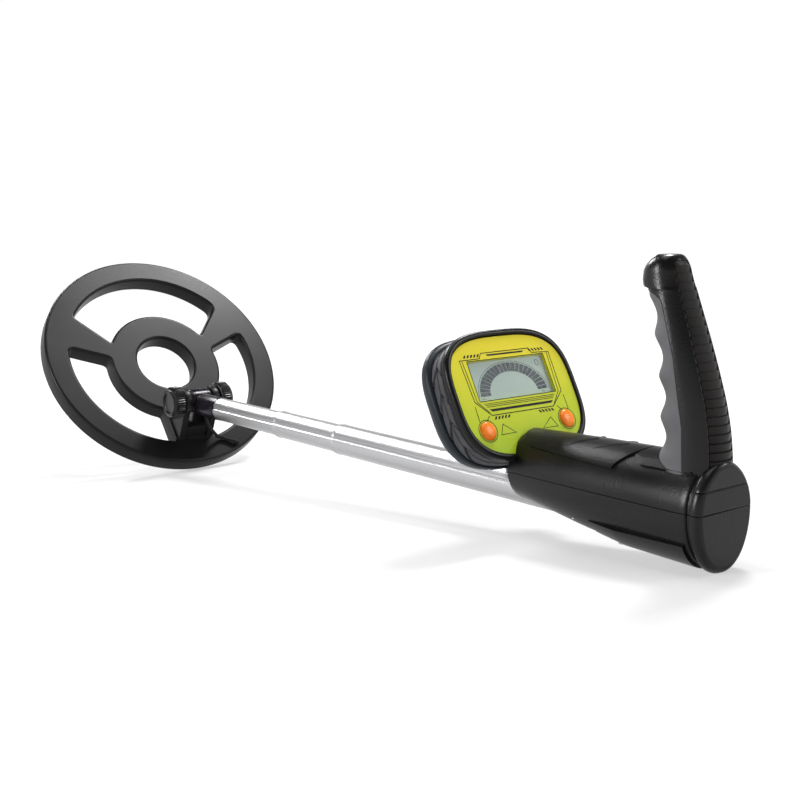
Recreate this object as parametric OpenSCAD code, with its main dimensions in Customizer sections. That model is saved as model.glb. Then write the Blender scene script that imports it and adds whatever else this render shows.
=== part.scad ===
// Hand-held metal detector, lying as it is set down: coil rim and handle heel on the floor.
// Everything is drawn in the pole's frame (pole along X, coil at +X, grip up), then leaned.

/* [Search coil] */
// Outer diameter of the search coil
coil_d = 170; // [150:1:205]
// Thickness of the coil housing
coil_t = 13; // [11:0.5:17]
// Inner diameter of the coil's outer ring
ring_in_d = 137; // [125:1:138]
// Outer diameter of the coil's hub
hub_d = 81; // [66:1:84]
// Diameter of the hole through the hub
hub_hole_d = 42; // [34:1:46]
// How far the hub and its hole sit behind the ring's centre
hub_shift = 4; // [0:0.5:6]
// Half-width of each of the two front spokes
spoke_half = 6.7; // [5.5:0.1:8]
// Angle of the front spokes from straight ahead
spoke_angle = 69; // [64:1:72]
// Half-width of the rear spoke that carries the ears
rear_spoke_half = 14.6; // [14.2:0.2:20]
// Wall of the coil shells
coil_wall = 2; // [1.6:0.1:2.4]
// Angle between the coil and the pole as it lies
coil_tilt = 51.2; // [45:0.2:58]
// Height of the pivot above the coil's top face
pivot_h = 21.5; // [20:0.5:24]
// Distance from the pivot's foot to the ring's centre
pivot_back = 49.4; // [48:0.2:52]

/* [Pivot] */
// Diameter of the pivot bolt
bolt_d = 6; // [5:0.5:7]
// Thickness of each ear
ear_t = 4.8; // [4:0.2:6]
// Diameter of each thumb knob
knob_d = 22; // [18:0.5:24]
// Thickness of each thumb knob
knob_t = 9.2; // [6:0.2:11]

/* [Pole] */
// Outer diameter of the front tube
front_tube_d = 15; // [14:0.5:16]
// Wall of every tube
tube_wall = 0.4; // [0.35:0.05:0.5]
// Length of the front tube
front_tube_len = 196; // [170:1:210]
// Length of the middle tube
middle_tube_len = 202; // [180:1:206]
// Front tube left showing as it lies
front_tube_out = 75; // [60:1:95]
// Middle tube left showing as it lies
middle_tube_out = 64; // [45:1:80]
// Rear tube showing in front of the handle
rear_tube_out = 157; // [140:1:180]

/* [Handle] */
// Length of the handle body
body_len = 111; // [108:1:120]
// Half-width of the handle body at its heel
body_half = 17.6; // [17.2:0.2:19]
// Wall of the handle shells
shell_wall = 1.8; // [1.5:0.1:2.2]
// Height of the grip's top above the pole's axis
grip_top = 111; // [104:1:122]

/* [Display] */
// Half-width of the display housing
face_half_w = 39.5; // [37:0.5:43]
// Half-height of the display housing
face_half_h = 32; // [30:0.5:35]
// Depth of the display housing
face_depth = 22; // [21:0.5:25]
// Angle between the display's face and the pole
face_tilt = 62; // [56:1:68]
// Half-width of the screen's window
lcd_half_w = 24.3; // [22:0.1:26]
// Half-height of the screen's window
lcd_half_h = 9.9; // [8:0.1:11]
// Radius of each push button
button_r = 4.5; // [4:0.1:5]

/* [Hidden] */

$fn = 64;
// Clearances: round running fits, loose fits between shells, and a sliding button
run_gap = 0.05;
shell_gap = 0.1;
button_gap = 0.15;
// A cut's overshoot past the face that it opens
over = 1;

coil_r = coil_d / 2;
ring_in_r = ring_in_d / 2;
hub_r = hub_d / 2;
hub_hole_r = hub_hole_d / 2;
rim_chamfer = 1.2;
cover_t = 3;
channel_gap = 1;
pivot_z = 2.4;
bolt_r = bolt_d / 2;
barrel_r = 7.9;
tongue_half = 7.8;
ear_gap = 0.3;
ear_r = 8.8;
ear_foot = 18;
// Web that joins the ears' feet
web_h = 5;
web_back = 13;
web_len = 18;
ear_in = tongue_half + ear_gap;
ear_out = ear_in + ear_t;
washer_t = 0.6;
washer_r = 7;
knob_in = ear_out + washer_t;
knob_out = knob_in + knob_t;
knob_r = knob_d / 2;
knob_dish = 1.2;
knurl_count = 40;
knurl_r = 0.45;
nut_r = 5;
nut_t = 4;

collar_end = -33;
spigot_len = 32;
barrel_tail = 12;
spigot_r = front_tube_d / 2 - tube_wall - run_gap;
front_r = front_tube_d / 2;
layer_gap = 0.2;
middle_r = front_r + layer_gap + tube_wall;
rear_r = middle_r + layer_gap + tube_wall;
lip_len = 2.6;
lip_out = 0.25;
// Radius and depth of the pressed groove that keeps each tube from turning
groove_depth = 0.6;
groove_r = [1.6, 1.1, 0.6];
groove_angle = 15;
middle_mouth = collar_end - front_tube_out;
rear_mouth = middle_mouth - middle_tube_out;
body_front = rear_mouth - rear_tube_out;
saddle_len = 14;
rear_tube_end = body_front - 45;
bush_len = 8;
bush_wall = 1.6;
inner_lead_r = 4.4;
pin_r = 1.2;
pin_places = [-39.6, -56.7];
pin_proud = 0.1;

heel = body_front - body_len;
seam_z = 9.8;
ring_groove = heel + 6.5;
ring_gap = 1.6;
heel_flat = -15.8;
section_n = 40;
// Section of the body at a place: half-width, lowest and highest point
front_section = [16.2, -4.5, 27.6];
middle_section = [body_half - 0.3, -12, 29.2];
rear_section = [body_half, -14.6, 30.4];
rim_section = [body_half - 0.2, -16.5, 30.2];
end_section = [body_half - 2.4, -14.2, 28];
middle_place = body_front - 45;
rim_round = 1.2;
end_round = 3.2;

door_front = middle_place - 4;
door_back = ring_groove + 2;
door_edge_z = -7;
door_proud = 1.4;
door_ramp = 16;
door_flat = -15.5;
plug_half = 13.6;
battery_size = [48.5, 26.5, 17.5];
battery_z = -1;
snap_t = 4;

// Sections of the grip: height, middle, half-depth and half-width
grip_sections = [[24, -424, 16, 12.2], [45, -423.3, 14.6, 12], [70, -418.2, 11.2, 11.6],
    [98, -409.6, 9.4, 9.8]];
// Section at the foot of the hook over the fingers, and the cap's top
grip_hook = [98.4, -408.4, 10.2, 9.8];
grip_cap = [-409, 6, 5.4];
grip_shift = heel + 440;
insert_top = 98;
strip_half_top = 5;
strip_half_foot = 7.5;
strip_ribs = 20;
strip_pitch = 3.5;
strip_low = 37;
strip_t = 1.8;
// Line along the floor of the strip's pocket, from foot to top
strip_floor = [[-440 + strip_t, 20], [-437.9 + strip_t, 45], [-429.4 + strip_t, 70], [-419 + strip_t, 98],
    [-413.5 + strip_t, grip_top + 2]];

face_x = body_front + 10;
face_z = 43.6;
face_power = 3.2;
face_n = 64;
bezel_w = 2.4;
bezel_t = 4;
gasket_t = 1.2;
band_t = 7.8;
face_plate_t = 1.5;
bezel_proud = 1;
back_round = 2.6;
back_proud = 1.2;
back_up = 1.8;
display_wall = 2;
lcd_up = 8.3;
button_down = 16;
button_side = 25.4;
button_proud = 1.4;
tube_clear = 0.6;

// The lean that brings the coil's rim and the handle's heel down to one floor
sole_drop = coil_t - rim_chamfer;
rim_x = (pivot_back - coil_r) * cos(coil_tilt) + (pivot_h + sole_drop) * sin(coil_tilt);
rim_z = pivot_z + (pivot_back - coil_r) * sin(coil_tilt) - (pivot_h + sole_drop) * cos(coil_tilt);
heel_x = heel + end_round * (heel_flat - end_section[1]) / (rim_section[1] - end_section[1]);
lean = atan2(heel_flat - rim_z, rim_x - heel_x);
lift = -(rim_x * sin(lean) + rim_z * cos(lean));
// Foremost and rearmost points, so that the origin lies midway between them
tip_a = pivot_back + coil_r - rim_chamfer;
tip_x = tip_a * cos(coil_tilt) + (pivot_h + coil_t) * sin(coil_tilt);
tip_z = pivot_z + tip_a * sin(coil_tilt) - (pivot_h + coil_t) * cos(coil_tilt);
foremost = tip_x * cos(lean) - tip_z * sin(lean);
rearmost = heel * cos(lean) - end_section[2] * sin(lean);
mid_x = (foremost + rearmost) / 2;

// Route of the lead from the pole's end fitting to the coil, along the ring's top face
lead_r = 1.25;
lead_points = [[-10, 0, -7.2], [-9.9, -0.5, -10.4], [-9, -2.2, -14], [-7.4, -4.8, -17.2],
    [-5.2, -7.8, -20], [-2.6, -10.8, -22.4], [0, -13.6, -24.4], [1.8, -17.6, -26],
    [1.4, -20.8, -27.3], [0.2, -24.2, -28.6], [-1.1, -27.4, -29.9], [-1.3, -29.2, -30.6]];
// Place and radius of the grommet where the lead enters the ring, in the coil's plane
grommet_at = [-75.8, -29.4];
grommet_r = 2.2;

function arc(r, a0, a1, n) = [for (i = [0:n]) let(a = a0 + (a1 - a0) * i / n) [r * cos(a), r * sin(a)]];
function spow(v, p) = sign(v) * pow(abs(v), p);
// A rounded box outline with half-sizes a along x and b along y
function squircle(a, b, p, n) = [for (i = [0:n - 1]) let(t = 360 * i / n)
    [a * spow(cos(t), 2 / p), b * spow(sin(t), 2 / p)]];
// An egg outline in the YZ plane: s is half-width, lowest and highest point
function egg(s, grow) = [for (i = [0:section_n - 1]) let(
    t = 360 * i / section_n,
    up = sin(t) > 0,
    p = up ? 1.85 : 2.1,
    h = up ? s[2] - seam_z + grow : seam_z - s[1] + grow)
    [(s[0] + grow) * spow(cos(t), 2 / p), seam_z + h * spow(sin(t), 2 / p)]];

module placed() translate([-mid_x, 0, lift]) rotate([0, -lean, 0]) children();
module at_coil() placed() translate([0, 0, pivot_z]) rotate([0, -coil_tilt, 0])
    translate([pivot_back, 0, -pivot_h]) children();
module at_pivot() placed() translate([0, 0, pivot_z]) children();
module in_display() translate([face_x, 0, face_z]) rotate([0, -face_tilt, 0]) children();
module rod_x(r, x0, x1) translate([x0, 0, 0]) rotate([0, 90, 0]) cylinder(r = r, h = x1 - x0);
module rod_y(r, y0, y1) translate([0, y0, 0]) rotate([-90, 0, 0]) cylinder(r = r, h = y1 - y0);

// A tube swept along points, with a regular section of n sides
function along(p, i) = let(a = p[max(i - 1, 0)], b = p[min(i + 1, len(p) - 1)]) (b - a) / norm(b - a);
function ring_at(p, i, r, n) = let(
    d = along(p, i),
    s = cross(d, [1, 0.3, 0.2]),
    u = s / norm(s),
    v = cross(d, u))
    [for (k = [0:n - 1]) p[i] + r * cos(360 * k / n) * u + r * sin(360 * k / n) * v];
module swept(p, r, n) {
    m = len(p);
    points = [for (i = [0:m - 1]) each ring_at(p, i, r, n)];
    sides = [for (i = [0:m - 2], k = [0:n - 1])
        [i * n + k, i * n + (k + 1) % n, (i + 1) * n + (k + 1) % n, (i + 1) * n + k]];
    polyhedron(points, concat(sides, [[for (k = [n - 1:-1:0]) k]], [[for (k = [0:n - 1]) (m - 1) * n + k]]));
}

// ---- search coil, drawn with its centre at the origin and its top face at z = 0

// One of the coil's windows: its sides run from the hub's angles to the ring's, and its
// corners at the ring are rounded
function polar(r, a) = [r * cos(a), r * sin(a)];
function bend(p, q, r, n) = [for (i = [0:n]) let(t = i / n)
    p * pow(1 - t, 2) + q * 2 * t * (1 - t) + r * t * t];
function toward(p, q, d) = p + (q - p) * d / norm(q - p);
module window(hub0, hub1, ring0, ring1, round0, round1) {
    inner = [for (q = arc(hub_r, hub0, hub1, 14)) q - [hub_shift, 0]];
    turn0 = round0 / ring_in_r * 180 / PI;
    turn1 = round1 / ring_in_r * 180 / PI;
    q0 = polar(ring_in_r, ring0);
    q1 = polar(ring_in_r, ring1);
    corner1 = bend(toward(q1, inner[14], round1), q1, polar(ring_in_r, ring1 - turn1), 6);
    outer = arc(ring_in_r, ring1 - turn1 - 1, ring0 + turn0 + 1, 20);
    corner0 = bend(polar(ring_in_r, ring0 + turn0), q0, toward(q0, inner[0], round0), 6);
    translate([0, 0, -coil_t - over]) linear_extrude(coil_t + 2 * over)
        polygon(concat(inner, corner1, outer, corner0));
}
spoke_span = asin(spoke_half / hub_r);
flare_up = 5.5;
flare_low = -1.5;
hub_rear = 180 - asin(rear_spoke_half / hub_r);
ring_rear = 180 - asin(rear_spoke_half / ring_in_r);
module side_window() window(spoke_angle + spoke_span, hub_rear, spoke_angle + spoke_span + flare_low,
    ring_rear, 4.5, 1.5);
module windows() {
    window(spoke_span - spoke_angle, spoke_angle - spoke_span, spoke_span - spoke_angle + flare_up,
        spoke_angle - spoke_span - flare_up, 5.5, 2.5);
    side_window();
    mirror([0, 1, 0]) side_window();
}
module coil_disc() {
    c = rim_chamfer;
    rotate_extrude($fn = 120) polygon([[0, 0], [coil_r - c, 0], [coil_r, -c],
        [coil_r, -coil_t + c], [coil_r - c, -coil_t], [0, -coil_t]]);
}
module hub_hole() translate([-hub_shift, 0, -coil_t - over]) cylinder(r = hub_hole_r, h = coil_t + 2 * over);
module ring_channel(z0, z1, grow) {
    inner = ring_in_r + coil_wall - grow;
    outer = coil_r - coil_wall + grow;
    translate([0, 0, z0]) difference() {
        cylinder(r = outer, h = z1 - z0);
        translate([0, 0, -over]) cylinder(r = inner, h = z1 - z0 + 2 * over);
    }
}
module hub_channel(z0, z1) translate([-hub_shift, 0, z0]) difference() {
    cylinder(r = hub_r - coil_wall, h = z1 - z0);
    translate([0, 0, -over]) cylinder(r = hub_hole_r + coil_wall, h = z1 - z0 + 2 * over);
}
screw_angles = [0, spoke_angle, 130, 180, 230, 360 - spoke_angle];
screw_ring = ring_in_r + coil_wall + 2.6;
module at_coil_screws() for (a = screw_angles) rotate([0, 0, a]) translate([screw_ring, 0, 0]) children();
module screw_post() translate([0, 0, -coil_t + cover_t])
    cylinder(r = 2.4, h = coil_t - cover_t - coil_wall + 0.5);

// Ears that stand on the rear spoke and hold the pivot bolt
module ear(side) translate([-pivot_back, side * (ear_in + ear_out) / 2 + ear_t / 2, 0]) rotate([90, 0, 0]) {
    translate([0, pivot_h, 0]) cylinder(r = ear_r, h = ear_t);
    linear_extrude(ear_t)
        polygon([[-ear_r, pivot_h], [ear_r, pivot_h], [ear_r + 2, -over], [-ear_foot, -over]]);
}
module coil_top_shell() color([0.03, 0.03, 0.035]) at_coil() difference() {
    union() {
        intersection() {
            coil_disc();
            translate([0, 0, -coil_t + cover_t]) cylinder(r = coil_r + over, h = coil_t);
        }
        ear(-1);
        ear(1);
        translate([-pivot_back - web_back, -ear_in - over, -over])
            cube([web_len, 2 * (ear_in + over), web_h + over]);
    }
    windows();
    hub_hole();
    difference() {
        ring_channel(-coil_t - over, -coil_wall, 0);
        at_coil_screws() screw_post();
    }
    hub_channel(-coil_t - over, -coil_wall);
    translate([-pivot_back, 0, pivot_h]) rod_y(bolt_r + run_gap, -ear_out - over, ear_out + over);
    at_coil_screws() translate([0, 0, -coil_t - over]) cylinder(r = 1 + run_gap, h = coil_t - coil_wall);
}
module coil_bottom_cover() color([0.03, 0.03, 0.035]) at_coil() difference() {
    intersection() {
        coil_disc();
        translate([0, 0, -coil_t - over]) cylinder(r = coil_r + over, h = cover_t + over);
    }
    windows();
    hub_hole();
    at_coil_screws() translate([0, 0, -coil_t - over]) {
        cylinder(r = 1 + run_gap, h = cover_t + 2 * over);
        cylinder(r = 2.1, h = over + 1.4);
    }
}
module coil_screws() color([0.55, 0.55, 0.57]) at_coil() at_coil_screws() translate([0, 0, -coil_t + 0.4]) {
    cylinder(r = 2, h = 1);
    cylinder(r = 1, h = 8);
}
winding_top = -coil_wall - channel_gap;
winding_low = -coil_t + cover_t;
module transmit_winding() color([0.72, 0.42, 0.2]) at_coil() translate([0, 0, winding_low]) difference() {
    cylinder(r = coil_r - coil_wall - channel_gap, h = winding_top - winding_low);
    translate([0, 0, -over]) cylinder(r = screw_ring + 2.4 + channel_gap, h = coil_t);
}
module receive_winding() color([0.72, 0.42, 0.2]) at_coil() translate([-hub_shift, 0, winding_low])
    difference() {
        cylinder(r = hub_r - coil_wall - channel_gap, h = winding_top - winding_low);
        translate([0, 0, -over]) cylinder(r = hub_r - coil_wall - channel_gap - 7, h = coil_t);
    }
module lead_grommet() color([0.02, 0.02, 0.02]) at_coil() translate([grommet_at[0], grommet_at[1], 0])
    cylinder(r1 = grommet_r, r2 = grommet_r - 0.8, h = 2.8);

// ---- pivot hardware
module ear_washers() color([0.02, 0.02, 0.02]) at_pivot() for (s = [-1, 1]) difference() {
    rod_y(washer_r, min(s * ear_out, s * knob_in), max(s * ear_out, s * knob_in));
    rod_y(bolt_r + run_gap, -knob_out, knob_out);
}
module pivot_bolt() color([0.6, 0.6, 0.62]) at_pivot() rod_y(bolt_r, -knob_in - 4.4, knob_in + 4.4);
module knob_blank() {
    difference() {
        rod_y(knob_r, knob_in, knob_out);
        for (i = [0:knurl_count - 1]) rotate([0, 360 * i / knurl_count, 0]) translate([knob_r, 0, 0])
            rod_y(knurl_r, knob_in - over, knob_out - 1.4);
        rod_y(knob_r - 2.6, knob_out - knob_dish, knob_out + over);
    }
}
module knob_left() color([0.03, 0.03, 0.03]) at_pivot() difference() {
    knob_blank();
    rod_y(bolt_r, knob_in - over, knob_in + 4.4);
}
module knob_right() color([0.03, 0.03, 0.03]) at_pivot() mirror([0, 1, 0]) difference() {
    knob_blank();
    rod_y(nut_r, knob_in - over, knob_in + nut_t);
    rod_y(bolt_r + run_gap, knob_in - over, knob_in + 4.6);
}
module knob_nut() color([0.78, 0.62, 0.3]) at_pivot() mirror([0, 1, 0]) difference() {
    rod_y(nut_r, knob_in, knob_in + nut_t);
    rod_y(bolt_r + run_gap, knob_in - over, knob_in + nut_t + over);
}

// ---- pole
// The groove that runs along a tube: k is 0 for the front tube, 1 and 2 for the next ones
function groove_floor(k) = [front_r, middle_r, rear_r][k] - groove_depth;
module groove_rod(k, extra, x0, x1) translate([0, 0, groove_floor(k) + groove_r[k]])
    rod_x(groove_r[k] + extra, x0, x1);
module along_groove() rotate([groove_angle - 90, 0, 0]) children();
module grooved_bore(r, k, x0, x1) difference() {
    rod_x(r, x0, x1);
    along_groove() groove_rod(k, tube_wall, x0 - over, x1 + over);
}
module tube(r, k, x0, x1) difference() {
    rod_x(r, x0, x1);
    along_groove() groove_rod(k, 0, x0 - over, x1 + over);
    grooved_bore(r - tube_wall, k, x0 - over, x1 + over);
}
// The rolled lip at a tube's mouth
module lip(r, k, mouth) difference() {
    rod_x(r + lip_out, mouth - lip_len, mouth);
    rod_x(r - tube_wall / 2, mouth - lip_len - over, mouth + over);
    along_groove() groove_rod(k, 0, mouth - lip_len - over, mouth + over);
}
module pole_end() color([0.05, 0.05, 0.05]) placed() difference() {
    union() {
        translate([0, 0, pivot_z]) rod_y(barrel_r, -tongue_half, tongue_half);
        translate([0, 0, pivot_z / 2]) rod_x(barrel_r - pivot_z / 2, -barrel_tail, 0);
        rod_x(front_r + 0.3, collar_end, -6);
        grooved_spigot();
    }
    translate([0, 0, pivot_z]) rod_y(bolt_r + run_gap, -tongue_half - over, tongue_half + over);
    rod_x(1.7, collar_end - spigot_len - over, -10 + 1.7);
    translate([-10, 0, -12]) cylinder(r = 1.7, h = 12);
    for (x = pin_places) along_groove() translate([x, 0, 2]) cylinder(r = pin_r, h = 10);
}
module grooved_spigot() difference() {
    rod_x(spigot_r, collar_end - spigot_len, collar_end + over);
    along_groove() groove_rod(0, tube_wall + shell_gap, collar_end - spigot_len - over, collar_end);
}
module crimp_pins() color([0.75, 0.76, 0.78]) placed() for (x = pin_places) along_groove()
    translate([x, 0, 2]) cylinder(r = pin_r, h = groove_floor(0) + pin_proud - 2);
module front_tube() color([0.72, 0.73, 0.75]) placed() difference() {
    tube(front_r, 0, collar_end - front_tube_len, collar_end);
    for (x = pin_places) along_groove() translate([x, 0, 2]) cylinder(r = pin_r, h = 10);
}
module bush(r_out, k, r_in, end) difference() {
    rod_x(r_out, end, end + bush_len);
    rod_x(r_in, end - over, end + bush_len + over);
    along_groove() groove_rod(k, tube_wall + shell_gap, end - over, end + bush_len + over);
}
front_end = collar_end - front_tube_len;
middle_end = middle_mouth - middle_tube_len;
module front_bush() color([0.85, 0.85, 0.82]) placed()
    bush(middle_r - tube_wall - run_gap, 1, inner_lead_r + 0.8, front_end - bush_len);
module middle_tube() color([0.74, 0.75, 0.77]) placed() {
    tube(middle_r, 1, middle_end, middle_mouth);
    lip(middle_r, 1, middle_mouth);
}
module middle_bush() color([0.85, 0.85, 0.82]) placed()
    bush(rear_r - tube_wall - run_gap, 2, inner_lead_r + 0.8, middle_end - bush_len);
module rear_tube() color([0.76, 0.77, 0.79]) placed() {
    tube(rear_r, 2, rear_tube_end, rear_mouth);
    lip(rear_r, 2, rear_mouth);
}
module inner_lead() color([0.04, 0.04, 0.04]) placed()
    rod_x(inner_lead_r, rear_tube_end + 4, collar_end - spigot_len - 0.5, $fn = 24);
module coil_lead() color([0.02, 0.02, 0.02]) placed() swept(lead_points, lead_r, 8);

// ---- handle body
module section(x, s, grow) translate([x, 0, 0]) rotate([90, 0, 90])
    linear_extrude(0.02) polygon(egg(s, grow));
module body_outside() {
    hull() {
        section(body_front - 0.02, front_section, 0);
        section(middle_place, middle_section, 0);
    }
    hull() {
        section(middle_place, middle_section, 0);
        section(ring_groove, rear_section, 0);
    }
    heel_ring();
    ring_neck();
}
module heel_ring() hull() {
    section(ring_groove - ring_gap, rim_section, -rim_round);
    section(ring_groove - ring_gap - rim_round, rim_section, 0);
    section(heel + end_round, rim_section, 0);
    section(heel, end_section, 0);
}
// The narrow neck in the groove in front of the heel ring
module ring_neck() translate([ring_groove - ring_gap - rim_round - 0.02, 0, 0]) rotate([90, 0, 90])
    linear_extrude(ring_gap + rim_round + 0.06) polygon(egg(rear_section, -1));
module body_inside() {
    hull() {
        section(body_front + over, front_section, -shell_wall);
        section(middle_place, middle_section, -shell_wall);
    }
    hull() {
        section(middle_place, middle_section, -shell_wall);
        section(heel + end_round + 0.4, rear_section, -shell_wall - 0.3);
    }
}
module below(z) translate([heel - 10, -50, z - 100]) cube([300, 100, 100]);
module above(z) translate([heel - 10, -50, z]) cube([300, 100, 100]);
module between_x(x0, x1) translate([x0, -50, -60]) cube([x1 - x0, 100, 200]);
module tube_way() rod_x(rear_r + shell_gap, rear_tube_end - 20, body_front + 20);
saddle_x = rear_tube_end;
module saddle_web() intersection() {
    hull() {
        section(body_front, front_section, -shell_wall / 2);
        section(middle_place - 0.1, middle_section, -shell_wall / 2);
    }
    between_x(saddle_x, saddle_x + saddle_len);
    below(-0.05);
}
door_hole_x = [door_back + 2, door_front - 2];
module door_hole(gap) translate([door_hole_x[0] - gap, -plug_half - gap, -40])
    cube([door_hole_x[1] - door_hole_x[0] + 2 * gap, 2 * (plug_half + gap), 40 + door_edge_z + 1.6]);
saddle_screw_y = 10.9;
shell_screw_x = [body_front - 12, middle_place - 12];
module at_saddle_screws() for (s = [-1, 1])
    translate([saddle_x + saddle_len / 2, s * saddle_screw_y, 0]) children();
module lower_shell() color([0.06, 0.06, 0.065]) placed() difference() {
    union() {
        difference() {
            intersection() {
                body_outside();
                below(seam_z - shell_gap / 2);
                above(heel_flat);
            }
            body_inside();
        }
        saddle_web();
    }
    tube_way();
    door_hole(shell_gap);
    at_saddle_screws() translate([0, 0, -6]) cylinder(r = 1, h = 20);
}
module tube_saddle() color([0.2, 0.2, 0.2]) placed() difference() {
    translate([saddle_x, -12.6, 0]) cube([saddle_len, 25.2, seam_z - 0.6]);
    rod_x(rear_r + run_gap, saddle_x - over, saddle_x + saddle_len + over);
    at_saddle_screws() cylinder(r = 1 + run_gap, h = 20);
    at_saddle_screws() translate([0, 0, seam_z - 2.2]) cylinder(r = 2.1, h = 5);
}
module shell_screws() color([0.55, 0.55, 0.57]) placed() at_saddle_screws() {
    translate([0, 0, -6]) cylinder(r = 1, h = seam_z + 4.4);
    translate([0, 0, seam_z - 2.2]) cylinder(r = 2, h = 1.4);
}
module battery_door() color([0.06, 0.06, 0.065]) placed() difference() {
    union() {
        intersection() {
            difference() {
                hull() {
                    section(door_front, middle_section, 0.4);
                    section(door_front - door_ramp, middle_section, door_proud + 0.6);
                    section(door_back, rear_section, door_proud);
                }
                hull() {
                    section(door_front + 4, middle_section, 0.12);
                    section(door_back - 4, rear_section, 0.12);
                }
            }
            below(door_edge_z);
        }
        intersection() {
            hull() {
                section(door_front, middle_section, 0.4);
                section(door_back, rear_section, 0.4);
            }
            door_hole(-0.1);
        }
    }
    hull() {
        section(door_front + 4, middle_section, -shell_wall);
        section(door_back - 4, rear_section, -shell_wall);
    }
    translate([heel - 10, -50, door_flat - 100]) cube([300, 100, 100]);
    translate([door_front - 8, 0, -30]) {
        cylinder(r = 1 + run_gap, h = 30);
        cylinder(r = 2.1, h = 30 + door_flat + 1.2);
    }
}
module door_screw() color([0.55, 0.55, 0.57]) placed() translate([door_front - 8, 0, door_flat + 0.2]) {
    cylinder(r = 2, h = 1);
    cylinder(r = 1, h = 7);
}
battery_x = heel + 8;
module battery() color([0.25, 0.25, 0.28]) placed()
    translate([battery_x, -battery_size[1] / 2, battery_z]) cube(battery_size);
module battery_snap() color([0.04, 0.04, 0.04]) placed()
    translate([battery_x + battery_size[0] + 0.1, -battery_size[1] / 2, battery_z + 0.5])
        cube([snap_t, battery_size[1], battery_size[2] - 1]);
speaker_x = body_front - 31;
module speaker() color([0.4, 0.4, 0.42]) placed() translate([speaker_x, 0, 10]) {
    cylinder(r = 12.3, h = 2.4);
    cylinder(r = 8, h = 6);
}
module speaker_grille() color([0.03, 0.03, 0.03]) placed() for (x = [speaker_x - 8, speaker_x + 6])
    translate([x, 0, 16.2]) rotate([0, 0, 20]) translate([-1.2, -6, 0]) cube([2.4, 12, 1.2]);

// Raised panel over the speaker, and the saddle panel in front of the grip
deck_z = 20.6;
saddle_panel_z = 23.4;
module deck_panels() intersection() {
    hull() {
        section(body_front - 0.02, front_section, 1);
        section(ring_groove, rear_section, 1);
    }
    union() {
        translate([body_front - 62, -15, deck_z]) cube([53, 30, 20]);
        translate([ring_groove + 1, -15, saddle_panel_z]) cube([body_front - 68 - ring_groove - 1, 30, 20]);
    }
}
module upper_shell() color([0.06, 0.06, 0.065]) placed() difference() {
    union() {
        intersection() {
            body_outside();
            above(seam_z + shell_gap / 2);
        }
        deck_panels();
    }
    body_inside();
    grip_space(shell_gap);
    in_display() display_block(shell_gap);
}
// The space the grip's root takes out of the body: its own section and the top of the heel ring
heel_seam = 19;
module grip_space(gap) {
    intersection() {
        grip_root(gap);
        above(seam_z + 4);
    }
    translate([heel - 10, -30, heel_seam - gap]) cube([10 + ring_groove - ring_gap - heel + gap, 60, 60]);
}
module grip_root(gap) hull() {
    grip_section(grip_sections[0], gap);
    grip_section(grip_sections[1], gap);
}

// ---- grip
function oval(a, b, n) = squircle(a, b, 2.3, n);
module grip_section(s, gap) translate([s[1] + grip_shift, 0, s[0]]) linear_extrude(0.02)
    polygon(oval(s[2] + gap, s[3] + gap, 32));
module cap_section(z, grow) translate([grip_cap[0] + grip_shift, 0, z]) linear_extrude(0.02)
    polygon(oval(grip_cap[1] + grow, grip_cap[2] + grow, 32));
module grip_outside(gap) {
    for (i = [0:2]) hull() {
        grip_section(grip_sections[i], gap);
        grip_section(grip_sections[i + 1], gap);
    }
    hull() {
        grip_section(grip_sections[3], gap);
        grip_section(grip_hook, gap);
        cap_section(grip_top - 3, 2.6);
        cap_section(grip_top - 0.02, 0);
    }
}
// Everything in front of the seam between the soft insert and the shell
module insert_side(gap) translate([grip_shift, 40, 0]) rotate([90, 0, 0]) linear_extrude(80)
    polygon([[-427.5 + gap, 10], [-426 + gap, 43], [-420.6 + gap, 70], [-411.5 + gap, insert_top - 1],
        [-408 + gap, insert_top - gap], [-380, insert_top - gap], [-380, 10]]);
finger_z = [37, 53.5, 70, 87];
finger_r = 11;
finger_bite = 5;
// Front edge of the grip at a height, from the two sections round it
function front_at(z) = lookup(z, [for (q = grip_sections) [q[0], q[1] + q[2]]]);
module fingers() for (z = finger_z) translate([front_at(z) + grip_shift + finger_r - finger_bite, 0, z])
    rod_y(finger_r, -30, 30);
// Back edge of the grip at a height
function back_at(z) = lookup(z, [for (q = strip_floor) [q[1], q[0] - strip_t]]);
groove_bite = 0.7;
module grip_core() hull() {
    translate([-423 + grip_shift, 0, 26]) cylinder(r = 7.5, h = 0.1, $fn = 32);
    translate([-410 + grip_shift, 0, 92]) cylinder(r = 5.5, h = 0.1, $fn = 32);
}
module strip_zone(gap) translate([grip_shift, 0, 0]) rotate([0, 90, 0]) rotate([0, 0, 90])
    translate([0, 0, -470]) linear_extrude(60)
        polygon([[-strip_half_foot - gap, strip_low - 4 - gap], [strip_half_foot + gap, strip_low - 4 - gap],
            [strip_half_top + gap, grip_top + 5], [-strip_half_top - gap, grip_top + 5]]);
module strip_depth(gap) translate([grip_shift, 40, 0]) rotate([90, 0, 0]) linear_extrude(80)
    polygon([for (q = strip_floor) q + [gap, 0], [-470, strip_floor[4][1]], [-470, 20]]);
module grip_shell() color([0.04, 0.04, 0.045]) placed() difference() {
    union() {
        difference() {
            intersection() {
                grip_outside(0);
                above(seam_z + 5);
            }
            insert_side(0);
            intersection() {
                strip_zone(0);
                strip_depth(0);
            }
        }
        intersection() {
            heel_ring();
            above(heel_seam);
        }
    }
    grip_core();
}
module grip_insert() color([0.13, 0.13, 0.14]) placed() difference() {
    intersection() {
        grip_outside(-0.2);
        insert_side(shell_gap);
        above(24.2);
    }
    fingers();
    grip_core();
}
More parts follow.
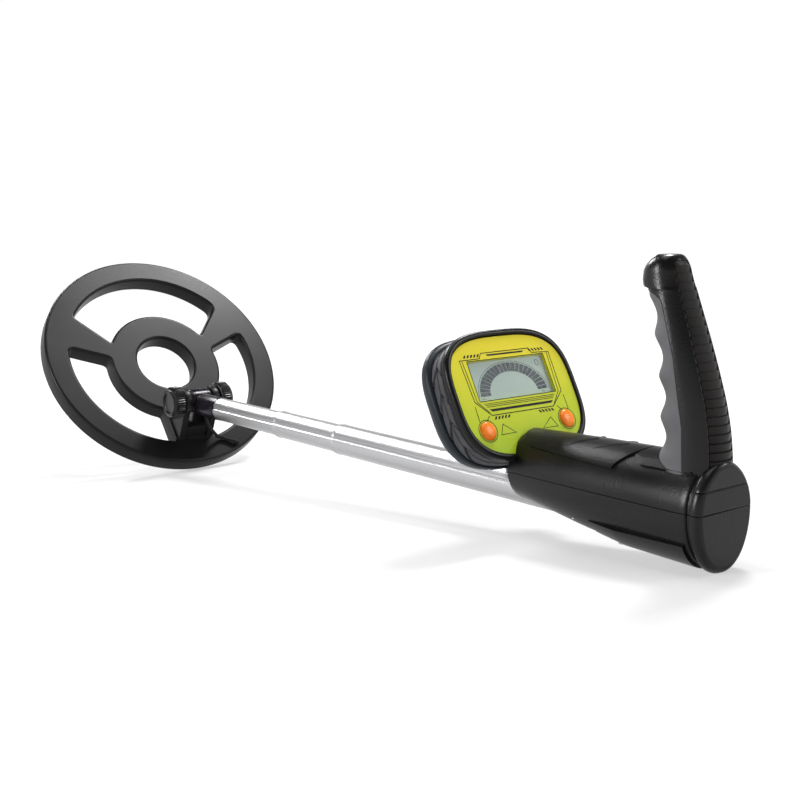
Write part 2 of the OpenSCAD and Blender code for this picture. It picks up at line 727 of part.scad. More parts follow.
module back_strip() color([0.05, 0.045, 0.04]) placed() difference() {
    intersection() {
        grip_outside(0.3);
        strip_zone(-shell_gap);
        strip_depth(-shell_gap);
        above(strip_low - 3.8);
    }
    for (i = [0:strip_ribs - 1]) let(z = strip_low + i * strip_pitch)
        translate([grip_shift - 470, -20, z]) cube([470 + back_at(z) + groove_bite, 40, 0.7]);
}

// ---- display, drawn with the faceplate's middle at the origin and its front at z = 0
module outline(inset, z0, z1) translate([0, 0, z0]) linear_extrude(z1 - z0)
    polygon(squircle(face_half_h - inset, face_half_w - inset, face_power, face_n));
module display_block(gap) outline(-gap, -face_depth, bezel_proud + gap);
module pole_notch() rotate([0, face_tilt, 0]) translate([-face_x, 0, -face_z])
    rod_x(rear_r + tube_clear, body_front - 20, body_front + 80);
boss_u = 21;
boss_v = 28;
module at_bosses() for (s = [-1, 1], t = [-1, 1]) translate([s * boss_u, t * boss_v, 0]) children();
band_front = -bezel_t - gasket_t + bezel_proud;
band_back = band_front - band_t;
module display_back_shell() color([0.07, 0.07, 0.075]) placed() difference() {
    union() {
        in_display() difference() {
            union() {
                translate([back_up, 0, 0]) outline(-back_proud, -face_depth + back_round, band_back);
                hull() translate([back_up, 0, 0]) {
                    outline(-back_proud, -face_depth + back_round, -face_depth + back_round + 0.02);
                    outline(back_round - back_proud, -face_depth, -face_depth + 0.02);
                }
            }
            difference() {
                outline(display_wall, -face_depth + display_wall + 2, band_back + over);
                at_bosses() translate([0, 0, -face_depth]) cylinder(r = 3, h = face_depth);
            }
            at_bosses() translate([0, 0, -face_depth - over]) {
                cylinder(r = 1.2 + run_gap, h = face_depth);
                cylinder(r = 2.3, h = over + 2);
            }
        }
    }
    rod_x(rear_r + tube_clear, body_front - 20, body_front + 80);
}
module display_band() color([0.09, 0.09, 0.095]) placed() in_display() difference() {
    union() {
        outline(0.5, band_back, band_front);
        chevrons();
    }
    outline(display_wall + 0.5, band_back - over, band_front + over);
    pole_notch();
}
// Slanted ribs that stand out of the band on each side
rib_count = 5;
module chevrons() for (s = [-1, 1], i = [0:rib_count - 1]) intersection() {
    difference() {
        outline(0, band_back + 0.02, band_front - 0.02);
        outline(1, band_back - over, band_front + over);
    }
    translate([-22 + i * 10, s * face_half_w, (band_back + band_front) / 2]) rotate([90, 0, 0])
        rotate([0, 0, 45]) cube([2, band_t * 1.7, 60], center = true);
}
module face_gasket() color([0.01, 0.01, 0.01]) placed() in_display() difference() {
    outline(0.4, band_front, band_front + gasket_t);
    outline(display_wall + 0.8, band_front - over, band_front + gasket_t + over);
    pole_notch();
}
module display_bezel() color([0.02, 0.02, 0.02]) placed() in_display() difference() {
    union() {
        outline(0, band_front + gasket_t, bezel_proud - 1);
        hull() {
            outline(0, bezel_proud - 1.02, bezel_proud - 1);
            outline(1, bezel_proud - 0.02, bezel_proud);
        }
    }
    outline(bezel_w, -face_plate_t, bezel_proud + over);
    outline(bezel_w + 1.5, -10, bezel_proud);
    pole_notch();
}
module faceplate() color([0.8, 0.86, 0.12]) placed() in_display() difference() {
    outline(bezel_w + shell_gap, -face_plate_t, 0);
    translate([lcd_up - lcd_half_h, -lcd_half_w, -5]) cube([2 * lcd_half_h, 2 * lcd_half_w, 10]);
    at_buttons() translate([0, 0, -5]) cylinder(r = button_r + button_gap, h = 10);
    rotate([0, face_tilt, 0]) translate([-face_x, 0, -face_z]) neck_arch();
}
// The arch of the handle that overlaps the foot of the faceplate
module neck_arch() hull() {
    section(body_front - 0.02, front_section, shell_gap);
    section(middle_place, middle_section, shell_gap);
}
module at_buttons() for (s = [-1, 1]) at_button(s) children();
module at_button(s) translate([-button_down, s * button_side, 0]) children();
module screen_window() color([0.6, 0.68, 0.66, 0.5]) placed() in_display()
    translate([lcd_up - lcd_half_h + shell_gap, -lcd_half_w + shell_gap, -1.4])
        cube([2 * (lcd_half_h - shell_gap), 2 * (lcd_half_w - shell_gap), 0.9]);
module screen_module() color([0.55, 0.62, 0.58]) placed() in_display()
    translate([lcd_up - lcd_half_h - 1.5, -lcd_half_w - 1.5, -4.4])
        cube([2 * lcd_half_h + 3, 2 * lcd_half_w + 3, 2.8]);
board_z = -8.6;
module circuit_board() color([0.05, 0.32, 0.16]) placed() in_display() difference() {
    translate([-19.5, -31, board_z]) cube([42, 62, 1.6]);
    at_bosses() translate([0, 0, -20]) cylinder(r = 3.4, h = 30);
}
module tact_switches() color([0.1, 0.1, 0.1]) placed() in_display() at_buttons() {
    translate([-3, -3, board_z + 1.6]) cube([6, 6, 2.6]);
}
module display_screws() color([0.55, 0.55, 0.57]) placed() in_display() at_bosses()
    translate([0, 0, -face_depth + 0.6]) {
        cylinder(r = 2.2, h = 1.4);
        cylinder(r = 1.2, h = 12);
    }
button_back = board_z + 1.6 + 2.6 + 1;
module button(s) color([0.95, 0.45, 0.08]) placed() in_display() at_button(s) {
    translate([0, 0, button_back + 1]) cylinder(r = button_r, h = button_proud - button_back - 1.5);
    translate([0, 0, button_proud - 0.52]) cylinder(r1 = button_r, r2 = button_r - 0.5, h = 0.52);
    translate([0, 0, button_back]) cylinder(r = button_r + 1, h = 1);
}
module power_button() button(1);
module reset_button() button(-1);

coil_top_shell();
coil_bottom_cover();
transmit_winding();
receive_winding();
coil_screws();
lead_grommet();
ear_washers();
pivot_bolt();
knob_left();
knob_right();
knob_nut();
pole_end();
crimp_pins();
front_tube();
front_bush();
middle_tube();
middle_bush();
rear_tube();
inner_lead();
coil_lead();
lower_shell();
upper_shell();
shell_screws();
tube_saddle();
battery_door();
door_screw();
battery();
battery_snap();
speaker();
speaker_grille();
grip_shell();
grip_insert();
back_strip();
display_back_shell();
display_band();
face_gasket();
display_bezel();
faceplate();
screen_window();
screen_module();
circuit_board();
tact_switches();
display_screws();
power_button();
reset_button();
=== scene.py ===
"""Looks for a metal detector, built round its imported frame. Lengths are in mm, in local frames that
follow the pole, the pivot, the coil and the display; mesh() turns them into metres."""

import bmesh
import bpy
import math
from mathutils import Matrix, Vector
from mathutils.geometry import tessellate_polygon


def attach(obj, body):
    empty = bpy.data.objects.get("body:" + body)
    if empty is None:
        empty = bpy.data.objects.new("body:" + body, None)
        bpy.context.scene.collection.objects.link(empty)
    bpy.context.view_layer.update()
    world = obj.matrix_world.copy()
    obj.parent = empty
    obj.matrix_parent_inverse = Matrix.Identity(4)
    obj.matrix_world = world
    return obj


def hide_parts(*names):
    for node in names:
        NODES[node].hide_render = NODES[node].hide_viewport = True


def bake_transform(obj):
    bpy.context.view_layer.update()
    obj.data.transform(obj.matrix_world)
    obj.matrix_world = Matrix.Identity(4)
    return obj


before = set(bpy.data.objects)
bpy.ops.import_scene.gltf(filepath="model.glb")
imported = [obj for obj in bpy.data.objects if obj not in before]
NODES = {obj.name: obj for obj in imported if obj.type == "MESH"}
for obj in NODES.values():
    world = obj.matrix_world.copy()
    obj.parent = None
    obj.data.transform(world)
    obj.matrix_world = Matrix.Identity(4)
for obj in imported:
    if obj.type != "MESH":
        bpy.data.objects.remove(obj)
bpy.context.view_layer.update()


def move(x, y, z):
    return Matrix.Translation((x / 1000, y / 1000, z / 1000))


def about(axis, degrees):
    return Matrix.Rotation(math.radians(degrees), 4, axis)


# Pole: x towards the coil, y to the left, z to the grip's side. Coil: its plane. Face: x up it, z out of it.
LEAN = 3.94101
PIVOT_LIFT = 2.4
COIL_TILT = 51.2
PIVOT_BACK = 49.4
PIVOT_HEIGHT = 21.5
FACE_TILT = 62
POLE = move(168.304, 0, 45.8506) @ about("Y", -LEAN)
PIVOT = POLE @ move(0, 0, PIVOT_LIFT)
COIL = PIVOT @ about("Y", -COIL_TILT) @ move(PIVOT_BACK, 0, -PIVOT_HEIGHT)
FACE = POLE @ move(-319, 0, 43.6) @ about("Y", -FACE_TILT)

# ---- camera
CAMERA_AT = (-729.9, 386.2, 131.3)
camera = bpy.data.objects.new("camera", bpy.data.cameras.new("camera"))
camera.data.lens = 54
camera.data.sensor_width = 36
camera.data.clip_start = 0.01
turn = Matrix(((-0.6111, 0.1173, -0.7828), (-0.7914, -0.1079, 0.6017), (-0.0139, 0.9872, 0.1588)))
camera.matrix_world = POLE @ move(*CAMERA_AT) @ turn.to_4x4()
bpy.context.scene.collection.objects.link(camera)
bpy.context.scene.camera = camera


# ---- materials
def blank_material(name):
    """A new material with its node tree and its shader."""
    material = bpy.data.materials.new(name)
    material.use_nodes = True
    tree = material.node_tree
    return material, tree, tree.nodes["Principled BSDF"]


def noise(tree, scale, detail=3.0, stretch=(1, 1, 1)):
    """Noise in the piece's own space, a number from 0 to 1."""
    place = tree.nodes.new("ShaderNodeTexCoord")
    size = tree.nodes.new("ShaderNodeMapping")
    size.inputs["Scale"].default_value = stretch
    texture = tree.nodes.new("ShaderNodeTexNoise")
    texture.inputs["Scale"].default_value = scale
    texture.inputs["Detail"].default_value = detail
    tree.links.new(place.outputs["Object"], size.inputs["Vector"])
    tree.links.new(size.outputs["Vector"], texture.inputs["Vector"])
    return texture.outputs[0]


def ramp(tree, value, stops):
    """Colours along a value, from (place, colour) stops."""
    node = tree.nodes.new("ShaderNodeValToRGB")
    while len(node.color_ramp.elements) < len(stops):
        node.color_ramp.elements.new(0.5)
    for element, (place, color) in zip(node.color_ramp.elements, stops):
        element.position = place
        element.color = (*color, 1)
    tree.links.new(value, node.inputs[0])
    return node.outputs[0]


def spread(tree, value, low, high):
    """The middle of a noise value, spread from low to high."""
    node = tree.nodes.new("ShaderNodeMapRange")
    node.inputs["From Min"].default_value = 0.3
    node.inputs["From Max"].default_value = 0.7
    node.inputs["To Min"].default_value = low
    node.inputs["To Max"].default_value = high
    tree.links.new(value, node.inputs["Value"])
    return node.outputs[0]


BUMP_DEPTH = 0.0002


def bump(tree, shader, value, strength):
    node = tree.nodes.new("ShaderNodeBump")
    node.inputs["Strength"].default_value = strength
    node.inputs["Distance"].default_value = BUMP_DEPTH
    tree.links.new(value, node.inputs["Height"])
    tree.links.new(node.outputs[0], shader.inputs["Normal"])


def finish_of(name, dark, light, rough, grain=1500, depth=0.1, patch=40, metal=0.0, coat=0.0, specular=0.15,
              stretch=(1, 1, 1), spread_by=0.05):
    """A moulded, rubber or metal finish: mottled colour, uneven gloss and a fine grain."""
    material, tree, shader = blank_material(name)
    broad = noise(tree, patch, 4.0, stretch)
    fine = noise(tree, grain, 2.0, stretch)
    tree.links.new(ramp(tree, broad, [(0.3, dark), (0.7, light)]), shader.inputs["Base Color"])
    tree.links.new(spread(tree, broad, rough - spread_by, rough + spread_by), shader.inputs["Roughness"])
    shader.inputs["Metallic"].default_value = metal
    shader.inputs["Coat Weight"].default_value = coat
    shader.inputs["Coat Roughness"].default_value = 0.15
    shader.inputs["Specular IOR Level"].default_value = specular
    bump(tree, shader, fine, depth)
    return material


def grey(v, tint=1.0):
    return (v, v, v * tint)


COIL_BLACK = finish_of("coil_black", grey(0.004), grey(0.008, 1.05), 0.33, 2600, 0.05, 12)
RIM_BLACK = finish_of("cover_black", grey(0.003), grey(0.006), 0.3, 2600, 0.05, 15)
KNOB_BLACK = finish_of("knob_black", grey(0.002), grey(0.005), 0.3, 1800, 0.14, 160, specular=0.3)
END_BLACK = finish_of("end_black", (0.005, 0.004, 0.006), (0.012, 0.009, 0.014), 0.22, 1200, 0.05, 90)
RUBBER = finish_of("black_rubber", grey(0.004), grey(0.009), 0.6, 1600, 0.2, 120)
BODY_BLACK = finish_of("body_black", (0.002, 0.002, 0.0025), (0.005, 0.005, 0.0055), 0.3, 1100, 0.4, 26,
                       specular=0.24)
SHELL_BLACK = finish_of("shell_black", grey(0.002), grey(0.004), 0.26, 1100, 0.35, 30, specular=0.27)
INSERT_GREY = finish_of("insert_grey", (0.075, 0.075, 0.08), (0.1, 0.1, 0.107), 0.55, 2200, 0.25, 60)
STRIP_BROWN = finish_of("strip_brown", (0.006, 0.005, 0.0045), (0.013, 0.011, 0.01), 0.42, 1900, 0.25, 70)
HOUSING = finish_of("housing_blue_black", (0.008, 0.011, 0.014), (0.015, 0.02, 0.025), 0.42, 1900, 0.16, 25)
BAND_GREY = finish_of("band_grey", grey(0.035, 1.08), grey(0.06, 1.08), 0.45, 1700, 0.18, 60)
BEZEL_BLACK = finish_of("bezel_black", grey(0.004), grey(0.008), 0.28, 1900, 0.06, 60)
ORANGE = finish_of("button_orange", (0.86, 0.17, 0.012), (0.98, 0.27, 0.02), 0.35, 900, 0.12, 320, coat=0.2)
INK = finish_of("ink_black", (0.004, 0.005, 0.004), (0.01, 0.01, 0.006), 0.5, 2500, 0.05, 300)
LCD_DARK = finish_of("lcd_segment", (0.002, 0.012, 0.018), (0.004, 0.02, 0.027), 0.3, 900, 0.02, 200)
CHROME = finish_of("satin_chrome", grey(0.40, 1.02), grey(0.47, 1.02), 0.36, 1600, 0.03, 22, metal=1.0,
                   stretch=(0.05, 1, 1), spread_by=0.04)
STEEL = finish_of("plain_steel", grey(0.42), grey(0.55), 0.34, 1500, 0.06, 200, metal=1.0)
BRASS = finish_of("turned_brass", (0.62, 0.44, 0.18), (0.74, 0.55, 0.25), 0.3, 1500, 0.06, 200, metal=1.0)
COPPER = finish_of("winding_copper", (0.5, 0.2, 0.08), (0.65, 0.3, 0.12), 0.35, 700, 0.5, 200, metal=1.0,
                   stretch=(1, 1, 6))
NYLON = finish_of("natural_nylon", grey(0.62, 0.95), grey(0.75, 0.95), 0.45, 1200, 0.1, 80)
BOARD_GREEN = finish_of("board_green", (0.01, 0.12, 0.05), (0.02, 0.2, 0.08), 0.35, 500, 0.2, 260)
CASE_GREY = finish_of("battery_case", (0.1, 0.1, 0.12), (0.2, 0.2, 0.24), 0.35, 900, 0.08, 60)


def face_print():
    """Yellow at the top to lime at the foot, along the face's own up direction."""
    material, tree, shader = blank_material("face_print")
    place = tree.nodes.new("ShaderNodeTexCoord")
    split = tree.nodes.new("ShaderNodeSeparateXYZ")
    up = tree.nodes.new("ShaderNodeMapRange")
    up.inputs["From Min"].default_value = -0.03
    up.inputs["From Max"].default_value = 0.03
    tree.links.new(place.outputs["Object"], split.inputs[0])
    tree.links.new(split.outputs["X"], up.inputs["Value"])
    mixed = tree.nodes.new("ShaderNodeMath")
    mixed.operation = "MULTIPLY_ADD"
    tree.links.new(noise(tree, 60), mixed.inputs[0])
    mixed.inputs[1].default_value = 0.16
    tree.links.new(up.outputs[0], mixed.inputs[2])
    color = ramp(tree, mixed.outputs[0], [(0.08, (0.36, 0.54, 0.012)), (0.5, (0.52, 0.58, 0.01)),
                                          (1.0, (0.72, 0.61, 0.012))])
    tree.links.new(color, shader.inputs["Base Color"])
    tree.links.new(spread(tree, noise(tree, 200), 0.42, 0.52), shader.inputs["Roughness"])
    shader.inputs["Specular IOR Level"].default_value = 0.2
    bump(tree, shader, noise(tree, 2500), 0.06)
    return material


def lcd_glass():
    """Nearly clear, with a faint cast."""
    material, tree, shader = blank_material("lcd_glass")
    tree.links.new(ramp(tree, noise(tree, 30), [(0.3, (0.3, 0.4, 0.4)), (0.7, (0.4, 0.48, 0.48))]),
                   shader.inputs["Base Color"])
    tree.links.new(spread(tree, noise(tree, 80), 0.1, 0.16), shader.inputs["Roughness"])
    shader.inputs["Alpha"].default_value = 0.035
    shader.inputs["Specular IOR Level"].default_value = 0.3
    bump(tree, shader, noise(tree, 300), 0.01)
    return material


FACE_PRINT = face_print()
GLASS = lcd_glass()
LCD_GREY = finish_of("lcd_grey", (0.33, 0.42, 0.38), (0.43, 0.52, 0.46), 0.4, 1500, 0.03, 24)


# ---- mesh tools
def arc(r, a0, a1, n, cx=0.0, cy=0.0):
    """Points round a centre from a0 to a1 degrees, both ends included."""
    angles = [math.radians(a0 + (a1 - a0) * i / n) for i in range(n + 1)]
    return [(cx + r * math.cos(a), cy + r * math.sin(a)) for a in angles]


def power(v, p):
    """v to the power p, keeping its sign."""
    return math.copysign(abs(v) ** p, v)


def squircle(a, b, p, n):
    """A rounded rectangle with half sizes a and b; p sets how square it is."""
    turns = [2 * math.pi * i / n for i in range(n)]
    return [(a * power(math.cos(t), 2 / p), b * power(math.sin(t), 2 / p)) for t in turns]


def lerp(a, b, t):
    return a + (b - a) * t


def table(x, rows):
    """Value at x from rows of (x, value), straight between them."""
    if x <= rows[0][0]:
        return rows[0][1]
    for (x0, v0), (x1, v1) in zip(rows, rows[1:]):
        if x <= x1:
            return lerp(v0, v1, (x - x0) / (x1 - x0))
    return rows[-1][1]


def smooth(x, rows, width):
    """The same, rounded over a width."""
    return sum(table(x + width * (k - 4) / 8, rows) for k in range(9)) / 9


def inset_of(points, sign):
    """For each point of a counter-clockwise loop, the vector that moves it 1 mm into the material."""
    out = []
    n = len(points)
    for i in range(n):
        (x0, y0), (x1, y1), (x2, y2) = points[i - 1], points[i], points[(i + 1) % n]
        a = Vector((y1 - y0, x0 - x1))
        b = Vector((y2 - y1, x1 - x2))
        if a.length < 1e-9 or b.length < 1e-9:
            a = b = a if a.length > b.length else b
        m = a.normalized() + b.normalized()
        m = m.normalized() / max(0.6, m.length / 2)
        out.append(sign * m)
    return out


MERGE = 2e-6
TINY = 1e-7


def mesh(name, verts, faces, place, body, material, slot=None, nodes=(), sharp=32, local=False):
    """A piece from points in mm. Its texture follows the row frame, or its own frame if local."""
    data = bpy.data.meshes.new(name)
    data.from_pydata([Vector(v) / 1000 for v in verts], [], faces)
    work = bmesh.new()
    work.from_mesh(data)
    bmesh.ops.remove_doubles(work, verts=work.verts, dist=MERGE)
    bmesh.ops.dissolve_degenerate(work, edges=work.edges, dist=TINY)
    bmesh.ops.recalc_face_normals(work, faces=work.faces)
    work.to_mesh(data)
    work.free()
    data.shade_smooth()
    data.set_sharp_from_angle(angle=math.radians(sharp))
    data.materials.append(material)
    piece = bpy.data.objects.new(name, data)
    bpy.context.scene.collection.objects.link(piece)
    if local:
        piece.matrix_world = place
    else:
        data.transform(place)
    if body:
        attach(piece, body)
    if nodes:
        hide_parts(*nodes)
    return piece


REAR_MOUTH = -172
MIDDLE_MOUTH = -108
IN_WALL = 8.55


class Build:
    """Vertices and faces that several shapes are added to."""

    def __init__(self):
        self.verts = []
        self.faces = []

    def grid(self, rows, ring=False, caps=(False, False)):
        """A skin over rows of points; a ring closes each row on itself."""
        base = len(self.verts)
        n = len(rows[0])
        for row in rows:
            self.verts += row
        for i in range(len(rows) - 1):
            for k in range(n if ring else n - 1):
                a, b = base + i * n + k, base + i * n + (k + 1) % n
                self.faces.append((a, b, b + n, a + n))
        for wanted, first in zip(caps, (base, base + (len(rows) - 1) * n)):
            if wanted:
                self.faces.append(tuple(range(first, first + n)))
        return self

    def plate(self, loops, levels, warp=None):
        """Loops (the first is the outside) drawn at levels of (inset, height), capped at both ends."""
        warp = warp or (lambda *p: p)
        levels = [(levels[0][0] + 0.2, levels[0][1])] + levels + [(levels[-1][0] + 0.2, levels[-1][1])]
        rings = [[] for _ in levels]
        for k, loop in enumerate(loops):
            moves = inset_of(loop, -1 if k == 0 else 1)
            rows = [[(x + m.x * d, y + m.y * d, z) for (x, y), m in zip(loop, moves)] for d, z in levels]
            self.grid([[warp(*p) for p in row] for row in rows], ring=True)
            for i, row in enumerate(rows):
                rings[i].append(row)
        for i in (0, -1):
            base = len(self.verts)
            flat = [[Vector((p[0], p[1], 0)) for p in ring] for ring in rings[i]]
            self.verts += [warp(*p) for ring in rings[i] for p in ring]
            self.faces += [tuple(base + v for v in tri) for tri in tessellate_polygon(flat)]
        return self

    def lathe(self, profile, n, shape=None, axis="Z"):
        """Turns (radius, height) pairs about an axis; shape(angle, radius) may change the radius."""
        rows = []
        for r, h in profile:
            row = []
            for k in range(n):
                t = 2 * math.pi * k / n
                q = shape(t, r) if shape else r
                x, y = q * math.cos(t), q * math.sin(t)
                row.append({"Z": (x, y, h), "Y": (x, h, y), "X": (h, x, y)}[axis])
            rows.append(row)
        return self.grid(rows, ring=True, caps=(profile[0][0] > 0.01, profile[-1][0] > 0.01))

    def ribbon(self, points, width, z0, z1, closed=False):
        """A printed line along points."""
        n = len(points)
        left, right = [], []
        for i in range(n):
            a = Vector(points[i - 1] if i or closed else points[0])
            p = Vector(points[i])
            b = Vector(points[(i + 1) % n] if i < n - 1 or closed else points[-1])
            d0 = (p - a).normalized() if (p - a).length > 1e-6 else (b - p).normalized()
            d1 = (b - p).normalized() if (b - p).length > 1e-6 else d0
            m = Vector((-(d0 + d1).y, (d0 + d1).x)).normalized()
            reach = width / 2 / max(0.5, m.dot(Vector((-d0.y, d0.x))))
            left.append(p + m * reach)
            right.append(p - m * reach)
        rows = [[(*q, z0) for q in left], [(*q, z1) for q in left], [(*q, z1) for q in right],
                [(*q, z0) for q in right]]
        if closed:
            rows = [row + [row[0]] for row in rows]
            return self.grid(rows)
        base = len(self.verts)
        self.grid(rows)
        self.faces += [tuple(base + r * n for r in range(4)), tuple(base + r * n + n - 1 for r in range(4))]
        return self

    def solid(self, points, z0, z1):
        """A flat printed patch."""
        return self.grid([[(*p, z0) for p in points], [(*p, z1) for p in points]], True, (True, True))

    def add(self, other):
        """Takes in another build's faces."""
        base = len(self.verts)
        self.verts += other.verts
        self.faces += [tuple(base + v for v in face) for face in other.faces]
        return self

    def clear_bore(self, place):
        """Takes the skin out of the rear tube's bore; what is left ends inside the tube's wall."""
        to_pole = POLE.inverted() @ place
        scaled = [(to_pole @ (Vector(v) / 1000)) * 1000 for v in self.verts]
        deep = [-374.5 < q.x < REAR_MOUTH and math.hypot(q.y, q.z) < IN_WALL for q in scaled]
        self.faces = [f for f in self.faces if not all(deep[k] for k in f)]
        back = to_pole.inverted()
        for k, q in enumerate(scaled):
            if deep[k]:
                r = max(0.01, math.hypot(q.y, q.z))
                inside = Vector((q.x, q.y * IN_WALL / r, q.z * IN_WALL / r))
                self.verts[k] = tuple((back @ (inside / 1000)) * 1000)
        return self

    def done(self, *args, **named):
        name, *rest = args
        return mesh(name, self.verts, self.faces, *rest, **named)


# ---- search coil
RING, RING_IN, HUB, HOLE, SHIFT = 85, 68.5, 40.5, 21, 4


def window(hub0, hub1, ring0, ring1, round0, round1, at_hub0, at_hub1):
    """An opening between hub and ring, from its angles on both and the rounds at its four corners."""
    g0, g1 = math.degrees(at_hub0 / HUB), math.degrees(at_hub1 / HUB)
    inner = [(x - SHIFT, y) for x, y in arc(HUB, hub0 + g0, hub1 - g1, 28)]
    c0, c1 = (Vector(arc(RING_IN, a, a, 1)[0]) for a in (ring0, ring1))
    s0, s1 = math.degrees(round0 / RING_IN), math.degrees(round1 / RING_IN)
    h0, h1 = (Vector(arc(HUB, a, a, 1, -SHIFT)[0]) for a in (hub0, hub1))

    def bend(p, q, r):
        return [tuple(p * (1 - t) ** 2 + q * 2 * t * (1 - t) + r * t * t) for t in [k / 8 for k in range(9)]]

    corner1 = bend(c1 + (h1 - c1).normalized() * round1, c1, Vector(arc(RING_IN, ring1 - s1, 0, 1)[0]))
    corner0 = bend(Vector(arc(RING_IN, ring0 + s0, 0, 1)[0]), c0, c0 + (h0 - c0).normalized() * round0)
    outer = arc(RING_IN, ring1 - s1 - 1, ring0 + s0 + 1, 48)
    foot0 = bend(h0 + (c0 - h0).normalized() * at_hub0, h0, Vector(inner[0]))
    foot1 = bend(Vector(inner[-1]), h1, h1 + (c1 - h1).normalized() * at_hub1)
    return (foot0[:-1] + inner + foot1[1:] + corner1 + outer + corner0)[::-1]


REAR_SPOKE_HALF = 14.6


def rear(r):
    """Angle at which the rear spoke's flank meets a circle."""
    return 180 - math.degrees(math.asin(REAR_SPOKE_HALF / r))


side = window(78.5, rear(HUB), 77, rear(RING_IN), 4.5, 1.5, 3.2, 1.5)
coil_loops = [arc(RING, 0, 360, 180)[:-1],
              window(-59.5, 59.5, -54, 54, 5.5, 2.5, 2.4, 1.6)[::-1],
              side[::-1], [(x, -y) for x, y in side],
              arc(HOLE, 0, 360, 96, -SHIFT)[:-1]]
for k, loop in enumerate(coil_loops):
    area = sum(a[0] * b[1] - b[0] * a[1] for a, b in zip(loop, loop[1:] + loop[:1]))
    if area < 0:
        coil_loops[k] = loop[::-1]
top = Build().plate(coil_loops, [(0.5, -9.9), (0.12, -9.9), (0, -9.75), (0, -1.8), (0.15, -1.1), (0.55, -0.5),
                                 (1.1, -0.16), (1.7, 0)])


def stand(y0, y1, points, edge=0.8):
    """A rounded plate standing on the coil's face between y0 and y1, its outline in x and height."""
    part = Build()
    d = y1 - y0
    part.plate([points], [(edge, 0), (edge * 0.3, edge * 0.3), (0, edge), (0, d - edge),
                          (edge * 0.3, d - edge * 0.3), (edge, d)],
               warp=lambda x, z, t: (x - PIVOT_BACK, y0 + t, z))
    return part


EAR_IN, EAR_OUT, EAR_R = 8.1, 12.9, 8.8
ear = arc(EAR_R, -12, 192, 36, 0, PIVOT_HEIGHT) + [(-18, -0.6), (10.8, -0.6)]
for y0, y1 in ((EAR_IN, EAR_OUT), (-EAR_OUT, -EAR_IN)):
    top.add(stand(y0, y1, ear))
web = [(5, -0.6), (4.2, 4.2), (3.2, 4.9), (-5, 5.2), (-11.5, 9), (-13.4, 9), (-16.4, -0.6)]
top.add(stand(-EAR_IN - 0.5, EAR_IN + 0.5, web, 0.4))
top.done("coil_housing", COIL, "coil", COIL_BLACK, "coil_plastic", ["coil_top_shell"])
Build().plate(coil_loops, [(1.5, -13), (1.1, -12.85), (0.7, -12.5), (0.35, -12.0), (0.1, -11.3),
                           (0, -10.6), (0, -10.15), (0.12, -10.02), (0.5, -10.02)]).done(
    "coil_cover", COIL, "coil", RIM_BLACK, "coil_plastic", ["coil_bottom_cover"])

Build().lathe([(0.2, -0.4), (2.4, -0.4), (2.4, 0.15), (2.2, 0.4), (1.9, 0.7), (1.8, 1.7), (1.65, 2.4),
               (1.35, 2.8), (0.2, 2.8)], 32).done(
    "lead_boot", COIL @ move(-75.8, -29.4, 0), "coil", RUBBER, "black_rubber", ["lead_grommet"])


# ---- pivot: knurled knobs and the pole's end fitting
KNURLS = 44
KNURL_DEPTH = 0.62
KNURL_FROM = 9.4


def knurl(t, r):
    """Cuts ridges round the rim."""
    if r < KNURL_FROM:
        return r
    wave = abs((t * KNURLS / (2 * math.pi)) % 1 - 0.5) * 2
    return r - KNURL_DEPTH * (1 - wave) ** 1.2 * min(1, (r - KNURL_FROM) * 2)


knob_profile = [(0.05, 21.45), (3.0, 21.4), (5.6, 21.45), (6.5, 21.6), (6.9, 21.9), (7.1, 22.5), (7.5, 22.68),
                (8.2, 22.66), (8.8, 22.4), (9.1, 21.9), (9.35, 21.6), (9.9, 21.3), (10.5, 20.9), (10.9, 20.3),
                (11.0, 19.7), (11.0, 15.4), (10.85, 14.8), (10.3, 14.2), (9.3, 13.8), (8.4, 13.6),
                (6.0, 13.52), (3.1, 13.5)]
for name, way, body in (("knob_left", 1, "left_knob"), ("knob_right", -1, "right_knob")):
    Build().lathe([(r, way * h) for r, h in knob_profile], KNURLS * 6, knurl, "Y").done(
        name + "_cap", PIVOT, body, KNOB_BLACK, "knob_plastic", [name])

fitting = Build().lathe([(0.05, -7.75), (3.2, -7.75), (6.9, -7.75), (7.55, -7.5), (7.85, -6.9), (7.88, -5.2),
                         (7.6, -4.9), (7.6, -4.5), (7.88, -4.2), (7.88, 4.2), (7.6, 4.5), (7.6, 4.9),
                         (7.88, 5.2), (7.85, 6.9), (7.55, 7.5), (6.9, 7.75), (3.2, 7.75), (0.05, 7.75)], 96,
                        axis="Y")
fitting.verts = [(x, y, z + PIVOT_LIFT) for x, y, z in fitting.verts]
collar = [(-2.0, 6.4, 1.6), (-5.0, 6.5, 1.1), (-6.6, 6.6, 0.7), (-7.0, 6.9, 0.5), (-7.4, 7.5, 0.2),
          (-8.2, 7.72, 0), (-9.4, 7.78, 0), (-31.8, 7.78, 0), (-32.6, 7.7, 0), (-32.98, 7.3, 0),
          (-33.0, 6.8, 0), (-45, 6.6, 0)]
fitting.grid([[(x, r * math.cos(2 * math.pi * k / 72), lift + r * math.sin(2 * math.pi * k / 72))
               for k in range(72)] for x, r, lift in collar], True, (True, True))
fitting.done("pole_fitting", POLE, "front_section", END_BLACK, "end_plastic", ["pole_end"])

